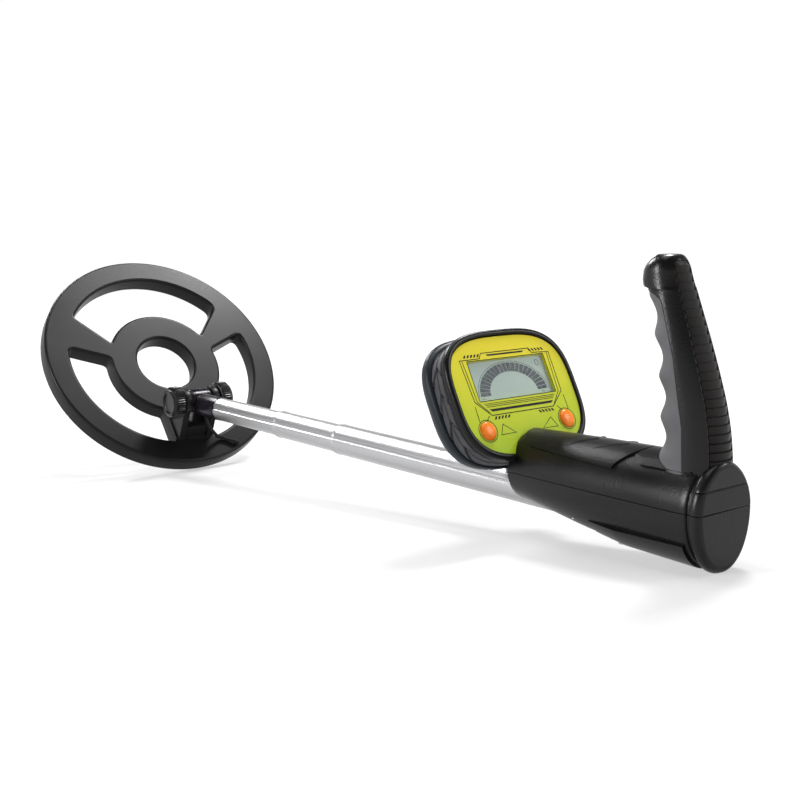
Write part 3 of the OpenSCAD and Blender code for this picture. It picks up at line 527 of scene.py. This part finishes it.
# ---- the lead from the pole's end to the coil
route = [(-10, 0, -7.2), (-9.9, -0.5, -10.4), (-9, -2.2, -14), (-7.4, -4.8, -17.2), (-5.2, -7.8, -20),
         (-2.6, -10.8, -22.4), (0, -13.6, -24.4), (1.8, -17.6, -26), (1.4, -20.8, -27.3), (0.2, -24.2, -28.6),
         (-1.1, -27.4, -29.9), (-1.3, -29.2, -30.6)]
LEAD_D = 2.5
path = []
for i in range(len(route) - 1):
    p = [Vector(route[max(0, min(len(route) - 1, i + k))]) for k in (-1, 0, 1, 2)]
    for k in range(4):
        t = k / 4
        path.append(0.5 * (2 * p[1] + (p[2] - p[0]) * t + (2 * p[0] - 5 * p[1] + 4 * p[2] - p[3]) * t * t
                           + (3 * p[1] - p[0] - 3 * p[2] + p[3]) * t ** 3))
path.append(Vector(route[-1]))
path = [POLE @ (p / 1000) for p in path]
rows = []
for i, p in enumerate(path):
    d = (path[min(i + 1, len(path) - 1)] - path[max(i - 1, 0)]).normalized()
    u = d.cross(Vector((1, 0.3, 0.2))).normalized()
    v = d.cross(u)
    rows.append([tuple((p + LEAD_D / 2000 * (math.cos(a) * u + math.sin(a) * v)) * 1000)
                 for a in [2 * math.pi * k / 16 for k in range(16)]])
lead = Build().grid(rows, True, (True, True)).done("coil_cable", Matrix.Identity(4), None, RUBBER, "cable",
                                                   ["coil_lead"])
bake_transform(lead)


# ---- the three nested tubes
def tube_rows(r, groove_r, stations, dents=()):
    """Rows round a tube with its pressed groove; stations are (x, growth)."""
    d = r - 0.6 + groove_r
    angles = sorted([k * 3.0 for k in range(-60, 60)] + [k * 0.75 + 0.37 for k in range(-28, 28)])
    rows = []
    for x, grow in stations:
        row = []
        for a in angles:
            t = math.radians(a)
            s = d * math.sin(t)
            q = r
            if abs(s) < groove_r and math.cos(t) > 0:
                q = min(q, d * math.cos(t) - math.sqrt(groove_r ** 2 - s * s))
            q = q - 0.04 if q < r else q
            q += grow
            for x0 in dents:
                q -= 0.35 * math.exp(-((x - x0) / 1.9) ** 2 - (r * t / 1.8) ** 2)
            w = math.radians(a + 15)
            row.append((x, q * math.cos(w), q * math.sin(w)))
        rows.append(row)
    return rows


def mouth(x):
    """Stations of a rolled lip that ends at x, then turns into the bore."""
    return [(x - 3.2, 0), (x - 2.8, 0.02), (x - 2.5, 0.16), (x - 2.1, 0.25), (x - 0.5, 0.25),
            (x - 0.15, 0.17), (x, -0.05), (x, -0.38), (x - 0.3, -0.42), (x - 6, -0.42)]


def run(x0, x1, step):
    n = max(1, round((x1 - x0) / step))
    return [(lerp(x0, x1, k / n), 0) for k in range(n + 1)]


FRONT_END = [(-33.2, -0.06), (-33.04, -0.2), (-33.02, -0.38)]
Build().grid(tube_rows(7.5, 1.6, run(-229, -66, 8) + run(-64, -33.5, 0.7) + FRONT_END, (-39.6, -56.7)),
             True).done(
    "tube_front", POLE, "front_section", CHROME, "tube_metal", ["front_tube"], sharp=50)
Build().grid(tube_rows(8.1, 1.1, run(-310, -112, 9) + mouth(MIDDLE_MOUTH)), True).done(
    "tube_middle", POLE, "middle_section", CHROME, "tube_metal", ["middle_tube"], sharp=50)
Build().grid(tube_rows(8.7, 0.6 + 0.2, run(-374, -176, 9) + mouth(REAR_MOUTH)), True).done(
    "tube_rear", POLE, "handle", CHROME, "tube_metal", ["rear_tube"], sharp=50)

# ---- the coiled lead inside the pole, in two halves
LEAD_PITCH, LEAD_R, LEAD_WIRE = 7, 3.1, 1.05
for name, x0, x1, rear_body, front_body, taken in (
        ("inner_lead_rear", -370, -250, "handle", "middle_section", ["inner_lead"]),
        ("inner_lead_front", -250, -62, "middle_section", "front_section", [])):
    rows = []
    steps = int((x1 - x0) / LEAD_PITCH) * 14
    for i in range(steps + 1):
        t = 2 * math.pi * i / 14
        x = lerp(x0, x1, i / steps)
        out_way = Vector((0, math.cos(t), math.sin(t)))
        along = Vector((LEAD_PITCH / (2 * math.pi * LEAD_R), -math.sin(t), math.cos(t))).normalized()
        up_way = along.cross(out_way)
        rows.append([tuple(Vector((x, 0, 0)) + LEAD_R * out_way
                           + LEAD_WIRE * (math.cos(a) * out_way + math.sin(a) * up_way))
                     for a in [2 * math.pi * k / 8 for k in range(8)]])
    coiled = Build().grid(rows, True, (True, True)).done(name, POLE, None, RUBBER, "cable", taken)
    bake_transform(coiled)

# ---- handle body
SEAM, RING_SEAM = 9.8, 19.0
WIDE = [(-440, 17.6), (-374, 17.3), (-329, 16.2)]
LOW = [(-440, -14.7), (-374, -12), (-329, -4.5)]
HIGH = [(-440, 30.5), (-374, 29.2), (-329, 27.6)]


def section(x):
    return [smooth(x, rows, 14) for rows in (WIDE, LOW, HIGH)]


def egg(s, t, grow=0.0):
    """Point of a body section at angle t in degrees: 0 to 180 is above the seam."""
    c, q = math.cos(math.radians(t)), math.sin(math.radians(t))
    p = 1.85 if q > 0 else 2.1
    h = s[2] - SEAM + grow if q > 0 else SEAM - s[1] + grow
    return (s[0] + grow) * power(c, 2 / p), SEAM + h * power(q, 2 / p)


def angle_at(s, z, grow=0.0):
    q = min(1.0, max(0.0, (z - SEAM) / (s[2] - SEAM + grow)))
    return math.degrees(math.asin(q ** (1.85 / 2)))


def shell_rows(stations, t0, t1, n, lip0=0.3, lip1=0.3):
    """Rows of the body's skin between two angles, with its edges turned in along the seams."""
    rows = []
    for x, s, grow in stations:
        a0, a1 = (t(s, grow) if callable(t) else t for t in (t0, t1))
        row = [(a0, grow - 1.2), (a0, grow - lip0), (a0 + 0.5, grow - 0.06)]
        row += [(lerp(a0 + 1.2, a1 - 1.2, k / n), grow) for k in range(n + 1)]
        row += [(a1 - 0.5, grow - 0.06), (a1, grow - lip1), (a1, grow - 1.2)]
        rows.append([(x, *egg(s, t, g)) for t, g in row])
    return rows


def lift_from(rows, z, gap):
    """Moves rows' first and last points off the seam height so that a fine gap shows."""
    return [[(x, y, max(q, z + gap) if gap > 0 else min(q, z + gap)) for x, y, q in row] for row in rows]


front = [(-329.0, -2.2), (-329.0, -0.9), (-329.25, -0.35), (-329.8, 0)]
body_stations = [(x, section(x), g) for x, g in front]
body_stations += [(x, section(x), 0) for x in [-329.8 - k * (102.6 / 40) for k in range(1, 41)]]
body_stations += [(-432.9, section(-433), -0.12), (-433.3, section(-433), -0.55),
                  (-433.5, section(-433), -1.1), (-435.2, section(-433), -1.1)]
RIM = [17.4, -16.4, 30.2]
END = [15.0, -14.0, 27.8]
ring_stations = [(-435.1, RIM, -1.6), (-435.1, RIM, -1.0), (-435.35, RIM, -0.4), (-435.8, RIM, -0.1),
                 (-436.3, RIM, 0)]
for k in range(1, 9):
    t = k / 8 * math.pi / 2
    s = [lerp(a, b, (1 - math.cos(t))) for a, b in zip(RIM, END)]
    ring_stations.append((-437.0 - 3.0 * math.sin(t), s, 0))


def end_cap(build, s, keep, x=-440.0):
    """The flat end face between two heights."""
    low, high = keep
    outline = [egg(s, 3.0 * k, -0.02) for k in range(120)]
    cut = []
    for (y0, z0), (y1, z1) in zip(outline, outline[1:] + outline[:1]):
        if low < z0 < high:
            cut.append((y0, z0))
        for level in (low, high):
            if (z0 - level) * (z1 - level) < 0:
                t = (level - z0) / (z1 - z0)
                cut.append((lerp(y0, y1, t), level))
    build.plate([cut], [(0.0, 2.0), (0.0, 0.25), (0.08, 0.08), (0.3, 0.0)],
                warp=lambda y, z, d: (x + d, y, z))


lower = Build().grid(lift_from(shell_rows(body_stations, 180, 360, 60), SEAM, -0.08))
lower.grid(lift_from(shell_rows(ring_stations, 180, 360, 60), SEAM, -0.08))
end_cap(lower, ring_stations[-1][1], (-30, SEAM - 0.12))
lower.verts = [(x, y, max(z, -15.8)) for x, y, z in lower.verts]
lower.clear_bore(POLE).done("body_lower", POLE, "handle", BODY_BLACK, "body_plastic", ["lower_shell"])


def ring_top(s, grow):
    return angle_at(s, RING_SEAM, grow)


def ring_far(s, grow):
    return 180 - angle_at(s, RING_SEAM, grow)


upper = Build().grid(lift_from(shell_rows(body_stations, 0, 180, 72), SEAM, 0.08))
for t0, t1 in ((0, ring_top), (ring_far, 180)):
    upper.grid(lift_from(shell_rows(ring_stations, t0, t1, 14), SEAM, 0.08))
end_cap(upper, ring_stations[-1][1], (SEAM + 0.12, RING_SEAM - 0.12))


def panel(front_x, back_x, edge_z, rise, n=30):
    """A raised panel that follows the body's top; its front and back edges are curves over it."""
    rows = []
    for i in range(-2, n + 3):
        row = []
        for k in range(-2, 43):
            u, v = min(max(i / n, 0), 1), min(max(k / 40, 0), 1)
            w = math.sin(math.pi * v)
            x = lerp(front_x(w), back_x(w), u)
            s = section(x)
            a = angle_at(s, lerp(edge_z[0], edge_z[1], u))
            t = lerp(a, 180 - a, v)
            outside = max(-i, i - n, -k, k - 40)
            grow = {2: -0.6, 1: rise - 0.28}.get(outside, rise)
            edge = 0.28 if outside < 1 and (i in (0, n) or k in (0, 40)) else 0.0
            if edge:
                grow = rise - 0.04
            row.append((x, *egg(s, t, grow)))
        rows.append(row)
    return rows


upper.grid(panel(lambda w: -330.5 - 9 * (1 - w) ** 2, lambda w: -391.5 - 10.5 * w ** 1.6, (22.2, 20.9), 0.85))
upper.grid(panel(lambda w: -404.8 + 5.6 * min(1, w * 2.2) - 3.6 * w ** 3, lambda w: -431.6,
                 (24.3, 24.5), 0.85))


def rib_on_body(points, width, rise):
    """A fine raised line along (x, y) points on the body's top."""
    rows = []
    for i, (x, y) in enumerate(points):
        x0, y0 = points[max(i - 1, 0)]
        x1, y1 = points[min(i + 1, len(points) - 1)]
        d = Vector((x1 - x0, y1 - y0)).normalized()
        row = []
        for across, g in ((-0.5, -0.3), (-0.4, 0.7), (-0.2, 1.0), (0.2, 1.0), (0.4, 0.7), (0.5, -0.3)):
            px, py = x - d.y * across * width, y + d.x * across * width
            s = section(px)
            rel = min(1, abs(py) / s[0])
            z = SEAM + (s[2] - SEAM) * (1 - rel ** 1.85) ** (1 / 1.85)
            row.append((px, py, z + 0.85 + g * rise))
        rows.append(row)
    return rows


for s in (1, -1):
    for xa, ya, xb, yb in ((-361, 9.5, -373, 2.0), (-376, 9.0, -391, 2.6)):
        line = [(lerp(xa, xb, k / 10), s * lerp(ya, yb, k / 10)) for k in range(11)]
        upper.grid(rib_on_body(line, 0.9, 0.4))
upper.done("body_upper", POLE, "handle", BODY_BLACK, "body_plastic", ["upper_shell"])

# battery door under the body: a pad that stands proud, with its own edge line
door = Build()
rows = []
for i in range(-2, 33):
    u = min(max(i / 30, 0), 1)
    x = lerp(-378.5, -431.3, u)
    s = section(x)
    proud = table(x, [(-431.5, 1.4), (-394, 1.9), (-379, 0.5)])
    a = 218 - 6 * u
    row = []
    for k in range(-2, 33):
        v = min(max(k / 30, 0), 1)
        outside = max(-i, i - 30, -k, k - 30)
        grow = {2: -0.5, 1: proud * 0.7}.get(outside, proud)
        if outside < 1 and (i in (0, 30) or k in (0, 30)):
            grow = proud * 0.95
        y, z = egg(s, lerp(a, 540 - a, v), grow)
        row.append((x, y, max(z, -15.5)))
    rows.append(row)
door.grid(rows).done("battery_hatch", POLE, "door", BODY_BLACK, "body_plastic", ["battery_door"])

# ---- grip
BACK = [(14, -440), (24, -440), (45, -437.9), (70, -429.4), (98, -419), (111, -414)]
FRONT = [(14, -407.6), (24, -408), (45, -408.7), (70, -407), (98, -400.2)]
HALF = [(14, 12.2), (24, 12.2), (45, 12), (70, 11.6), (98, 9.8), (111, 8.6)]
SEAM_X = [(10, -427.5), (43, -426), (70, -420.6), (97, -411.5)]
HOOK = [(97.4, -399.3), (98.6, -398.4), (101, -398.0), (104.5, -398.5), (107, -399.8), (109, -401.6),
        (110.2, -403.3)]
INSERT_TOP = 97.4


def grip_at(z):
    back = smooth(z, BACK, 22)
    ahead = table(z, HOOK) if z > INSERT_TOP else smooth(z, FRONT, 18)
    half = smooth(z, HALF, 16)
    if z > 104:
        q = min(1.0, (z - 104) / 7.0)
        pull = 1 - math.sqrt(max(0, 1 - q * q))
        half -= 4.6 * pull
        back += 3.2 * pull
        ahead -= 1.2 * pull
    return (back + ahead) / 2, (ahead - back) / 2, half


def grip_point(z, a, out=0.0):
    cx, depth, half = grip_at(z)
    c, s = math.cos(a), math.sin(a)
    return cx + (depth + out) * power(c, 2 / 2.3), (half + out) * power(s, 2 / 2.3), z


def seam_angle(z):
    """Angle from the front at which the soft insert meets the shell."""
    if z >= INSERT_TOP:
        return 0.0
    cx, depth, _ = grip_at(z)
    x = table(z, SEAM_X)
    c = min(1, max(-1, (x - cx) / depth))
    a = math.acos(power(c, 2.3 / 2))
    q = max(0.0, (z - 89.5) / (INSERT_TOP - 89.5))
    return a * (1 - q ** 3.2) ** 0.42


def strip_angle(z):
    _, _, half = grip_at(z)
    y = table(z, [(33, 7.5), (105, 5.0), (111, 3.4)])
    return math.pi - math.asin(min(1, y / half) ** 1.15)


heights = [24 + k * 0.75 for k in range(98)] + [97.4] + [97.9 + 0.6 * k for k in range(20)]
heights += [109.9, 110.3, 110.6, 110.8, 110.92, 111.0]
shell = Build()
for s in (1, -1):
    rows = []
    for z in heights:
        a, b = seam_angle(z), strip_angle(z)
        open_seam = a > 0
        row = [grip_point(z, a, -2.6 if open_seam else 0), grip_point(z, a, -0.25 if open_seam else 0),
               grip_point(z, a + 0.01, -0.05 if open_seam else 0)]
        row += [grip_point(z, lerp(a + 0.03, b - 0.03, k / 26)) for k in range(27)]
        if z > 108.2:
            row += [grip_point(z, lerp(b - 0.02, math.pi, k / 4)) for k in range(5)]
        else:
            row += [grip_point(z, b, -0.25)] + [grip_point(z, b, -1.6)] * 4
        rows.append([(x, s * y, q) for x, y, q in row])
    top_row = [(-408.6, 0.0, 111.0)] * len(rows[0])
    shell.grid(rows + [top_row])
shell.grid(lift_from(shell_rows(ring_stations, ring_top, ring_far, 40), RING_SEAM, 0.08))
end_cap(shell, ring_stations[-1][1], (RING_SEAM + 0.12, 60))
shell.done("grip_housing", POLE, "handle", SHELL_BLACK, "shell_gloss", ["grip_shell"])


def finger_dip(z):
    wave = 0.5 + 0.5 * math.cos(2 * math.pi * (z - 37) / 16.7)
    fade = min(1, max(0, (z - 27) / 5)) * min(1, max(0, (96.5 - z) / 4))
    return 0.5 + 2.7 * wave ** 0.8 * fade


rows = []
for z in [22.5 + k * 0.6 for k in range(125)] + [97.3]:
    edge = seam_angle(z)
    row = [grip_point(z, edge, -1.8), grip_point(z, edge, -0.45)]
    foot = 1.0 if z > 26 else 0.0
    for k in range(37):
        a = lerp(edge - 0.012, -edge + 0.012, k / 36)
        w = max(0.0, math.cos(a * 0.92)) ** 0.8 if abs(a) < 1.6 else 0.0
        near = min(1, (edge - abs(a)) * 8)
        row.append(grip_point(z, a, -0.22 - finger_dip(z) * w * near * foot))
    row += [grip_point(z, -edge, -0.45), grip_point(z, -edge, -1.8)]
    rows.append(row)
Build().grid(rows).done("grip_cushion", POLE, "handle", INSERT_GREY, "insert_rubber", ["grip_insert"],
                        sharp=40)

rows = []
strip_heights = [24, 25, 26.4]
for k in range(-3, 20):
    z = 37 + 3.5 * k
    strip_heights += [z + 0.001, z + 0.12, z + 0.3, z + 1.2, z + 2.3, z + 3.3, z + 3.42]
strip_heights += [107.02, 107.2, 107.8, 108.1, 108.6]
for z in strip_heights:
    b = strip_angle(z)
    u = ((z - 37) % 3.5) / 3.5
    step = -0.75 + 0.8 * u if 26.5 <= z < 107 else -0.4
    row = [grip_point(z, b, -1.7), grip_point(z, b + 0.01, step - 0.35), grip_point(z, b + 0.03, step - 0.06)]
    row += [grip_point(z, lerp(b + 0.06, 2 * math.pi - b - 0.06, k / 14), step) for k in range(15)]
    row += [(x, -y, q) for x, y, q in row[2::-1]]
    rows.append(row)
Build().grid(rows).done("grip_back_strip", POLE, "handle", STRIP_BROWN, "strip_rubber", ["back_strip"],
                        sharp=28)

# ---- display housing, in the faceplate's frame: x up the face, y to the left, z out of it


def outline(inset, n=160):
    return [(x + 0.5, y) for x, y in squircle(32.5 - inset, 39.5 - inset, 3.2, n)]


def shell_of(levels, n=160, shift=0.0, cap_first=False):
    rows = [[(x + shift * f, y, z) for x, y in outline(d, n)] for d, z, f in levels]
    return Build().grid(rows, True, (cap_first, False))


shell_of([(6.5, -21.95, 1), (4.2, -21.8, 1), (2.4, -21.2, 1), (1.0, -20.1, 1), (0.0, -18.6, 1),
          (-0.7, -16.8, 1), (-1.0, -15.2, 1), (-1.0, -14.0, 0.8), (-0.7, -12.9, 0.5), (-0.2, -12.3, 0.3),
          (0.5, -12.05, 0.2), (1.4, -12.0, 0)], shift=1.5, cap_first=True).clear_bore(FACE).done(
    "display_housing", FACE, "handle", HOUSING, "housing_plastic", ["display_back_shell"])

rows = []
count = 480
loop = outline(0.9, count)
lengths = [0.0]
for a, b in zip(loop, loop[1:] + loop[:1]):
    lengths.append(lengths[-1] + math.dist(a, b))
away = inset_of(loop, -1)
for k in range(17):
    v = k / 16
    z = lerp(-12.1, -4.1, v)
    row = []
    for (x, y), m, along in zip(loop, away, lengths):
        phase = along / lengths[-1] * 18 + 1.1 * abs(v - 0.6) * (-1 if y > 0 else 1)
        saw = phase % 1
        on_side = min(1, max(0, (abs(y) / 39.5 - 0.55) * 5))
        grow = (0.5 * saw + 0.1 if saw > 0.09 else -0.7) * on_side - (0.5 if 0.55 < v < 0.65 else 0)
        d = -grow + (0.5 if k in (0, 16) else 0)
        row.append((x + m.x * d, y + m.y * d, z))
    rows.append(row)
Build().grid(rows, True).done("display_ribs", FACE, "handle", BAND_GREY, "housing_plastic",
                              ["display_band"], sharp=25)

shell_of([(2.0, -4.25, 0), (0.9, -4.25, 0), (0.5, -4.0, 0), (0.35, -3.6, 0), (0.5, -3.2, 0), (0.9, -2.98, 0),
          (2.0, -2.95, 0)]).done("display_gasket", FACE, "handle", RUBBER, "black_rubber", ["face_gasket"])
shell_of([(2.0, -2.9, 0), (0.35, -2.9, 0), (0.08, -2.6, 0), (0, -2.0, 0), (0, -0.5, 0), (0.12, 0.1, 0),
          (0.45, 0.6, 0), (1.0, 0.93, 0), (2.0, 0.96, 0), (2.6, 0.75, 0), (2.9, 0.35, 0), (3.0, -0.1, 0),
          (3.0, -0.9, 0)]).done(
    "display_frame", FACE, "handle", BEZEL_BLACK, "bezel_gloss", ["display_bezel"])

BUTTONS = {"power": (-16, 25.4), "reset": (-16, -25.4)}


def screen(grow, r=0.5):
    """The screen's outline, grown, with rounded corners."""
    a, b = 9.9 + grow, 24.3 + grow
    points = []
    for turn_at, cx, cy in ((0, a - r, b - r), (90, -a + r, b - r), (180, -a + r, -b + r),
                            (270, a - r, -b + r)):
        points += arc(r, turn_at, turn_at + 90, 5, 8.3 + cx, cy)
    return points


face_loops = [squircle(29.5, 37.0, 3.2, 160), screen(0)]
face_loops += [arc(4.68, 0, 360, 40, x, y)[:-1] for x, y in BUTTONS.values()]
Build().plate(face_loops, [(0.0, -1.5), (0.0, -0.1), (0.08, 0.0)]).done(
    "face_panel", FACE, "handle", FACE_PRINT, "face_print", ["faceplate"], local=True)

# printed marks on the faceplate
INK_Z = (-0.02, 0.045)
ink = Build()
ink.ribbon([(21.8, 14.4), (19.2, 16.3), (19.1, 28.6), (-1.6, 27.6), (-8.9, 20.0), (-8.9, -19.6),
            (-1.8, -28.0), (18.9, -28.5), (19.4, -17.4), (21.8, -16.3)], 0.42, *INK_Z, closed=True)
for s in (1, -1):
    ink.ribbon([(18.6, s * 27.1), (-1.6, s * 26.1), (-7.6, s * 20.6)], 0.36, *INK_Z)
    ink.ribbon([(-3.9, s * 28.4), (-11.2, s * 28.5)], 0.36, *INK_Z)
    ink.ribbon([(-8.9, s * 21.8), (-11.3, s * 24.0)], 0.36, *INK_Z)
    x, y = BUTTONS["power"]
    ink.ribbon(arc(5.35, 0, 360, 48, x, s * y)[:-1], 0.34, *INK_Z, closed=True)
    for k in range(5):
        for x0, y0 in ((20.1, 17.6), (-11.1, 11.0)):
            y = s * (y0 + k * 2.05)
            ink.solid([(x0, y), (x0 + 1.4, y - s * 0.9), (x0 + 1.4, y - s * 2.0), (x0, y - s * 1.1)], *INK_Z)
ink.solid([(20.9, 11.6), (20.9, -12.6), (20.1, -11.6), (20.1, 10.7)], *INK_Z)
ink.solid([(-5.9, 20.5), (-5.9, -20.5), (-7.1, -18.8), (-7.1, 18.8)], *INK_Z)
for u, half in ((-3.1, 22.7), (-3.9, 22.0), (-4.7, 21.3)):
    ink.ribbon([(u, half), (u, -half)], 0.28, *INK_Z)
ink.ribbon([(-13.8, 15.5), (-18.7, 18.3), (-18.6, 8.9)], 0.34, *INK_Z, closed=True)
ink.ribbon([(-14.0, -15.3), (-18.8, -8.4), (-19.0, -18.1)], 0.34, *INK_Z, closed=True)
ink.ribbon(screen(0.18), 0.36, *INK_Z, closed=True)
ink.done("face_marks", FACE, "handle", INK, "face_print")

# the screen: its plate, and the dial of segments just above it
Build().plate([screen(1.2)], [(0.3, -4.4), (0, -4.1), (0, -1.9), (0.3, -1.66)]).done(
    "screen_plate", FACE, "handle", LCD_GREY, "screen_body", ["screen_module"])
dial = Build()


def dial_at(r, a):
    """Point of the dial: r is 1 on its outer edge, a in degrees from its left end."""
    t = math.radians(a)
    return 0.9 + 15.4 * r * math.sin(t), -0.1 + 21.3 * r * math.cos(t)


for k in range(22):
    a0, a1 = 180 / 22 * k + 0.5, 180 / 22 * (k + 1) - 0.5
    points = [dial_at(1, lerp(a0, a1, j / 4)) for j in range(5)]
    points += [dial_at(0.71, lerp(a1, a0, j / 4)) for j in range(5)]
    dial.solid(points, -1.66, -1.6)
dial.ribbon([dial_at(1.045, 180 * k / 60) for k in range(61)], 0.22, -1.66, -1.6)
dial.ribbon([(14.6 + 1.5 * math.cos(t), -20.1 + 1.05 * math.sin(t)) for t in
             [2 * math.pi * k / 20 for k in range(20)]], 0.3, -1.66, -1.6, closed=True)
for y0 in (20.6, 19.8, 19.0, -17.4, -18.2, -19.0):
    dial.ribbon([(-0.5, y0), (0.1, y0)], 0.22, -1.66, -1.6)
dial.done("screen_dial", FACE, "handle", LCD_DARK, "screen_body")

for name, (x, y) in BUTTONS.items():
    Build().lathe([(0.05, 1.38), (1.5, 1.34), (2.8, 1.2), (3.7, 0.95), (4.2, 0.6), (4.45, 0.15), (4.5, -0.5),
                   (4.5, -3.2), (0.05, -3.2)], 48).done(
        name + "_key_cap", FACE @ move(x, y, 0), name + "_key", ORANGE, "button_orange", [name + "_button"])

# ---- CAD nodes that keep their own shape
KEEP = {
    STEEL: ["coil_screws", "pivot_bolt", "shell_screws", "door_screw", "display_screws", "crimp_pins",
            "speaker"],
    RUBBER: ["ear_washers", "battery_snap", "speaker_grille", "tact_switches"],
    BRASS: ["knob_nut"],
    COPPER: ["transmit_winding", "receive_winding"],
    NYLON: ["front_bush", "middle_bush"],
    BODY_BLACK: ["tube_saddle"],
    CASE_GREY: ["battery"],
    BOARD_GREEN: ["circuit_board"],
    GLASS: ["screen_window"],
}
for material, names in KEEP.items():
    for name in names:
        data = NODES[name].data
        data.materials.clear()
        data.materials.append(material)

# ---- floor, light
floor_material = finish_of("studio_floor", grey(0.28), grey(0.31), 0.7, 300, 0.01, 2, specular=0.1)
floor_shader = floor_material.node_tree.nodes["Principled BSDF"]
floor_shader.inputs["Emission Color"].default_value = (1, 1, 1, 1)
reach = floor_material.node_tree.nodes.new("ShaderNodeVectorMath")
reach.operation = "LENGTH"
where = floor_material.node_tree.nodes.new("ShaderNodeTexCoord")
glow = floor_material.node_tree.nodes.new("ShaderNodeMapRange")
glow.inputs["From Min"].default_value = 0.45
glow.inputs["From Max"].default_value = 2.2
glow.inputs["To Min"].default_value = 0.5
glow.inputs["To Max"].default_value = 1.05
floor_material.node_tree.links.new(where.outputs["Object"], reach.inputs[0])
floor_material.node_tree.links.new(reach.outputs["Value"], glow.inputs["Value"])
floor_material.node_tree.links.new(glow.outputs[0], floor_shader.inputs["Emission Strength"])
FLOOR_HALF = 9000
floor = mesh("floor", [(-FLOOR_HALF, -FLOOR_HALF, 0), (FLOOR_HALF, -FLOOR_HALF, 0),
                       (FLOOR_HALF, FLOOR_HALF, 0), (-FLOOR_HALF, FLOOR_HALF, 0)], [(0, 1, 2, 3)],
             Matrix.Identity(4), None, floor_material)


def softbox(name, at, aim, size, watts, color=(1, 1, 1)):
    light = bpy.data.lights.new(name, "AREA")
    light.shape = "RECTANGLE"
    light.size, light.size_y = size
    light.energy = watts
    light.color = color
    lamp = bpy.data.objects.new(name, light)
    lamp.location = at
    lamp.rotation_euler = (Vector(aim) - Vector(at)).to_track_quat("-Z", "Y").to_euler()
    bpy.context.scene.collection.objects.link(lamp)


softbox("coil_light", (0.1, -0.6, 1.05), (0.22, 0, 0.08), (0.28, 0.28), 17)
softbox("far_light", (1.15, 0.0, 1.05), (-0.1, 0, 0.05), (0.5, 0.5), 20)
softbox("side_light", (0.35, 1.3, 0.55), (-0.2, 0, 0.05), (0.3, 0.5), 14)
softbox("top_light", (-0.1, 0, 1.5), (0, 0, 0), (0.9, 0.9), 8)
softbox("face_light", (-1.0, -0.9, 0.75), (-0.15, 0, 0.06), (0.35, 0.35), 5)
world = bpy.data.worlds.new("world")
world.use_nodes = True
sky = world.node_tree
place = sky.nodes.new("ShaderNodeTexCoord")
split = sky.nodes.new("ShaderNodeSeparateXYZ")
sky.links.new(place.outputs["Generated"], split.inputs[0])
band = ramp(sky, split.outputs["Z"], [(0.24, (1, 1, 1)), (0.42, (0.14, 0.14, 0.145))])
sky.links.new(band, sky.nodes["Background"].inputs[0])
sky.nodes["Background"].inputs[1].default_value = 1.02
bpy.context.scene.world = world
bpy.context.scene.view_settings.view_transform = "Standard"
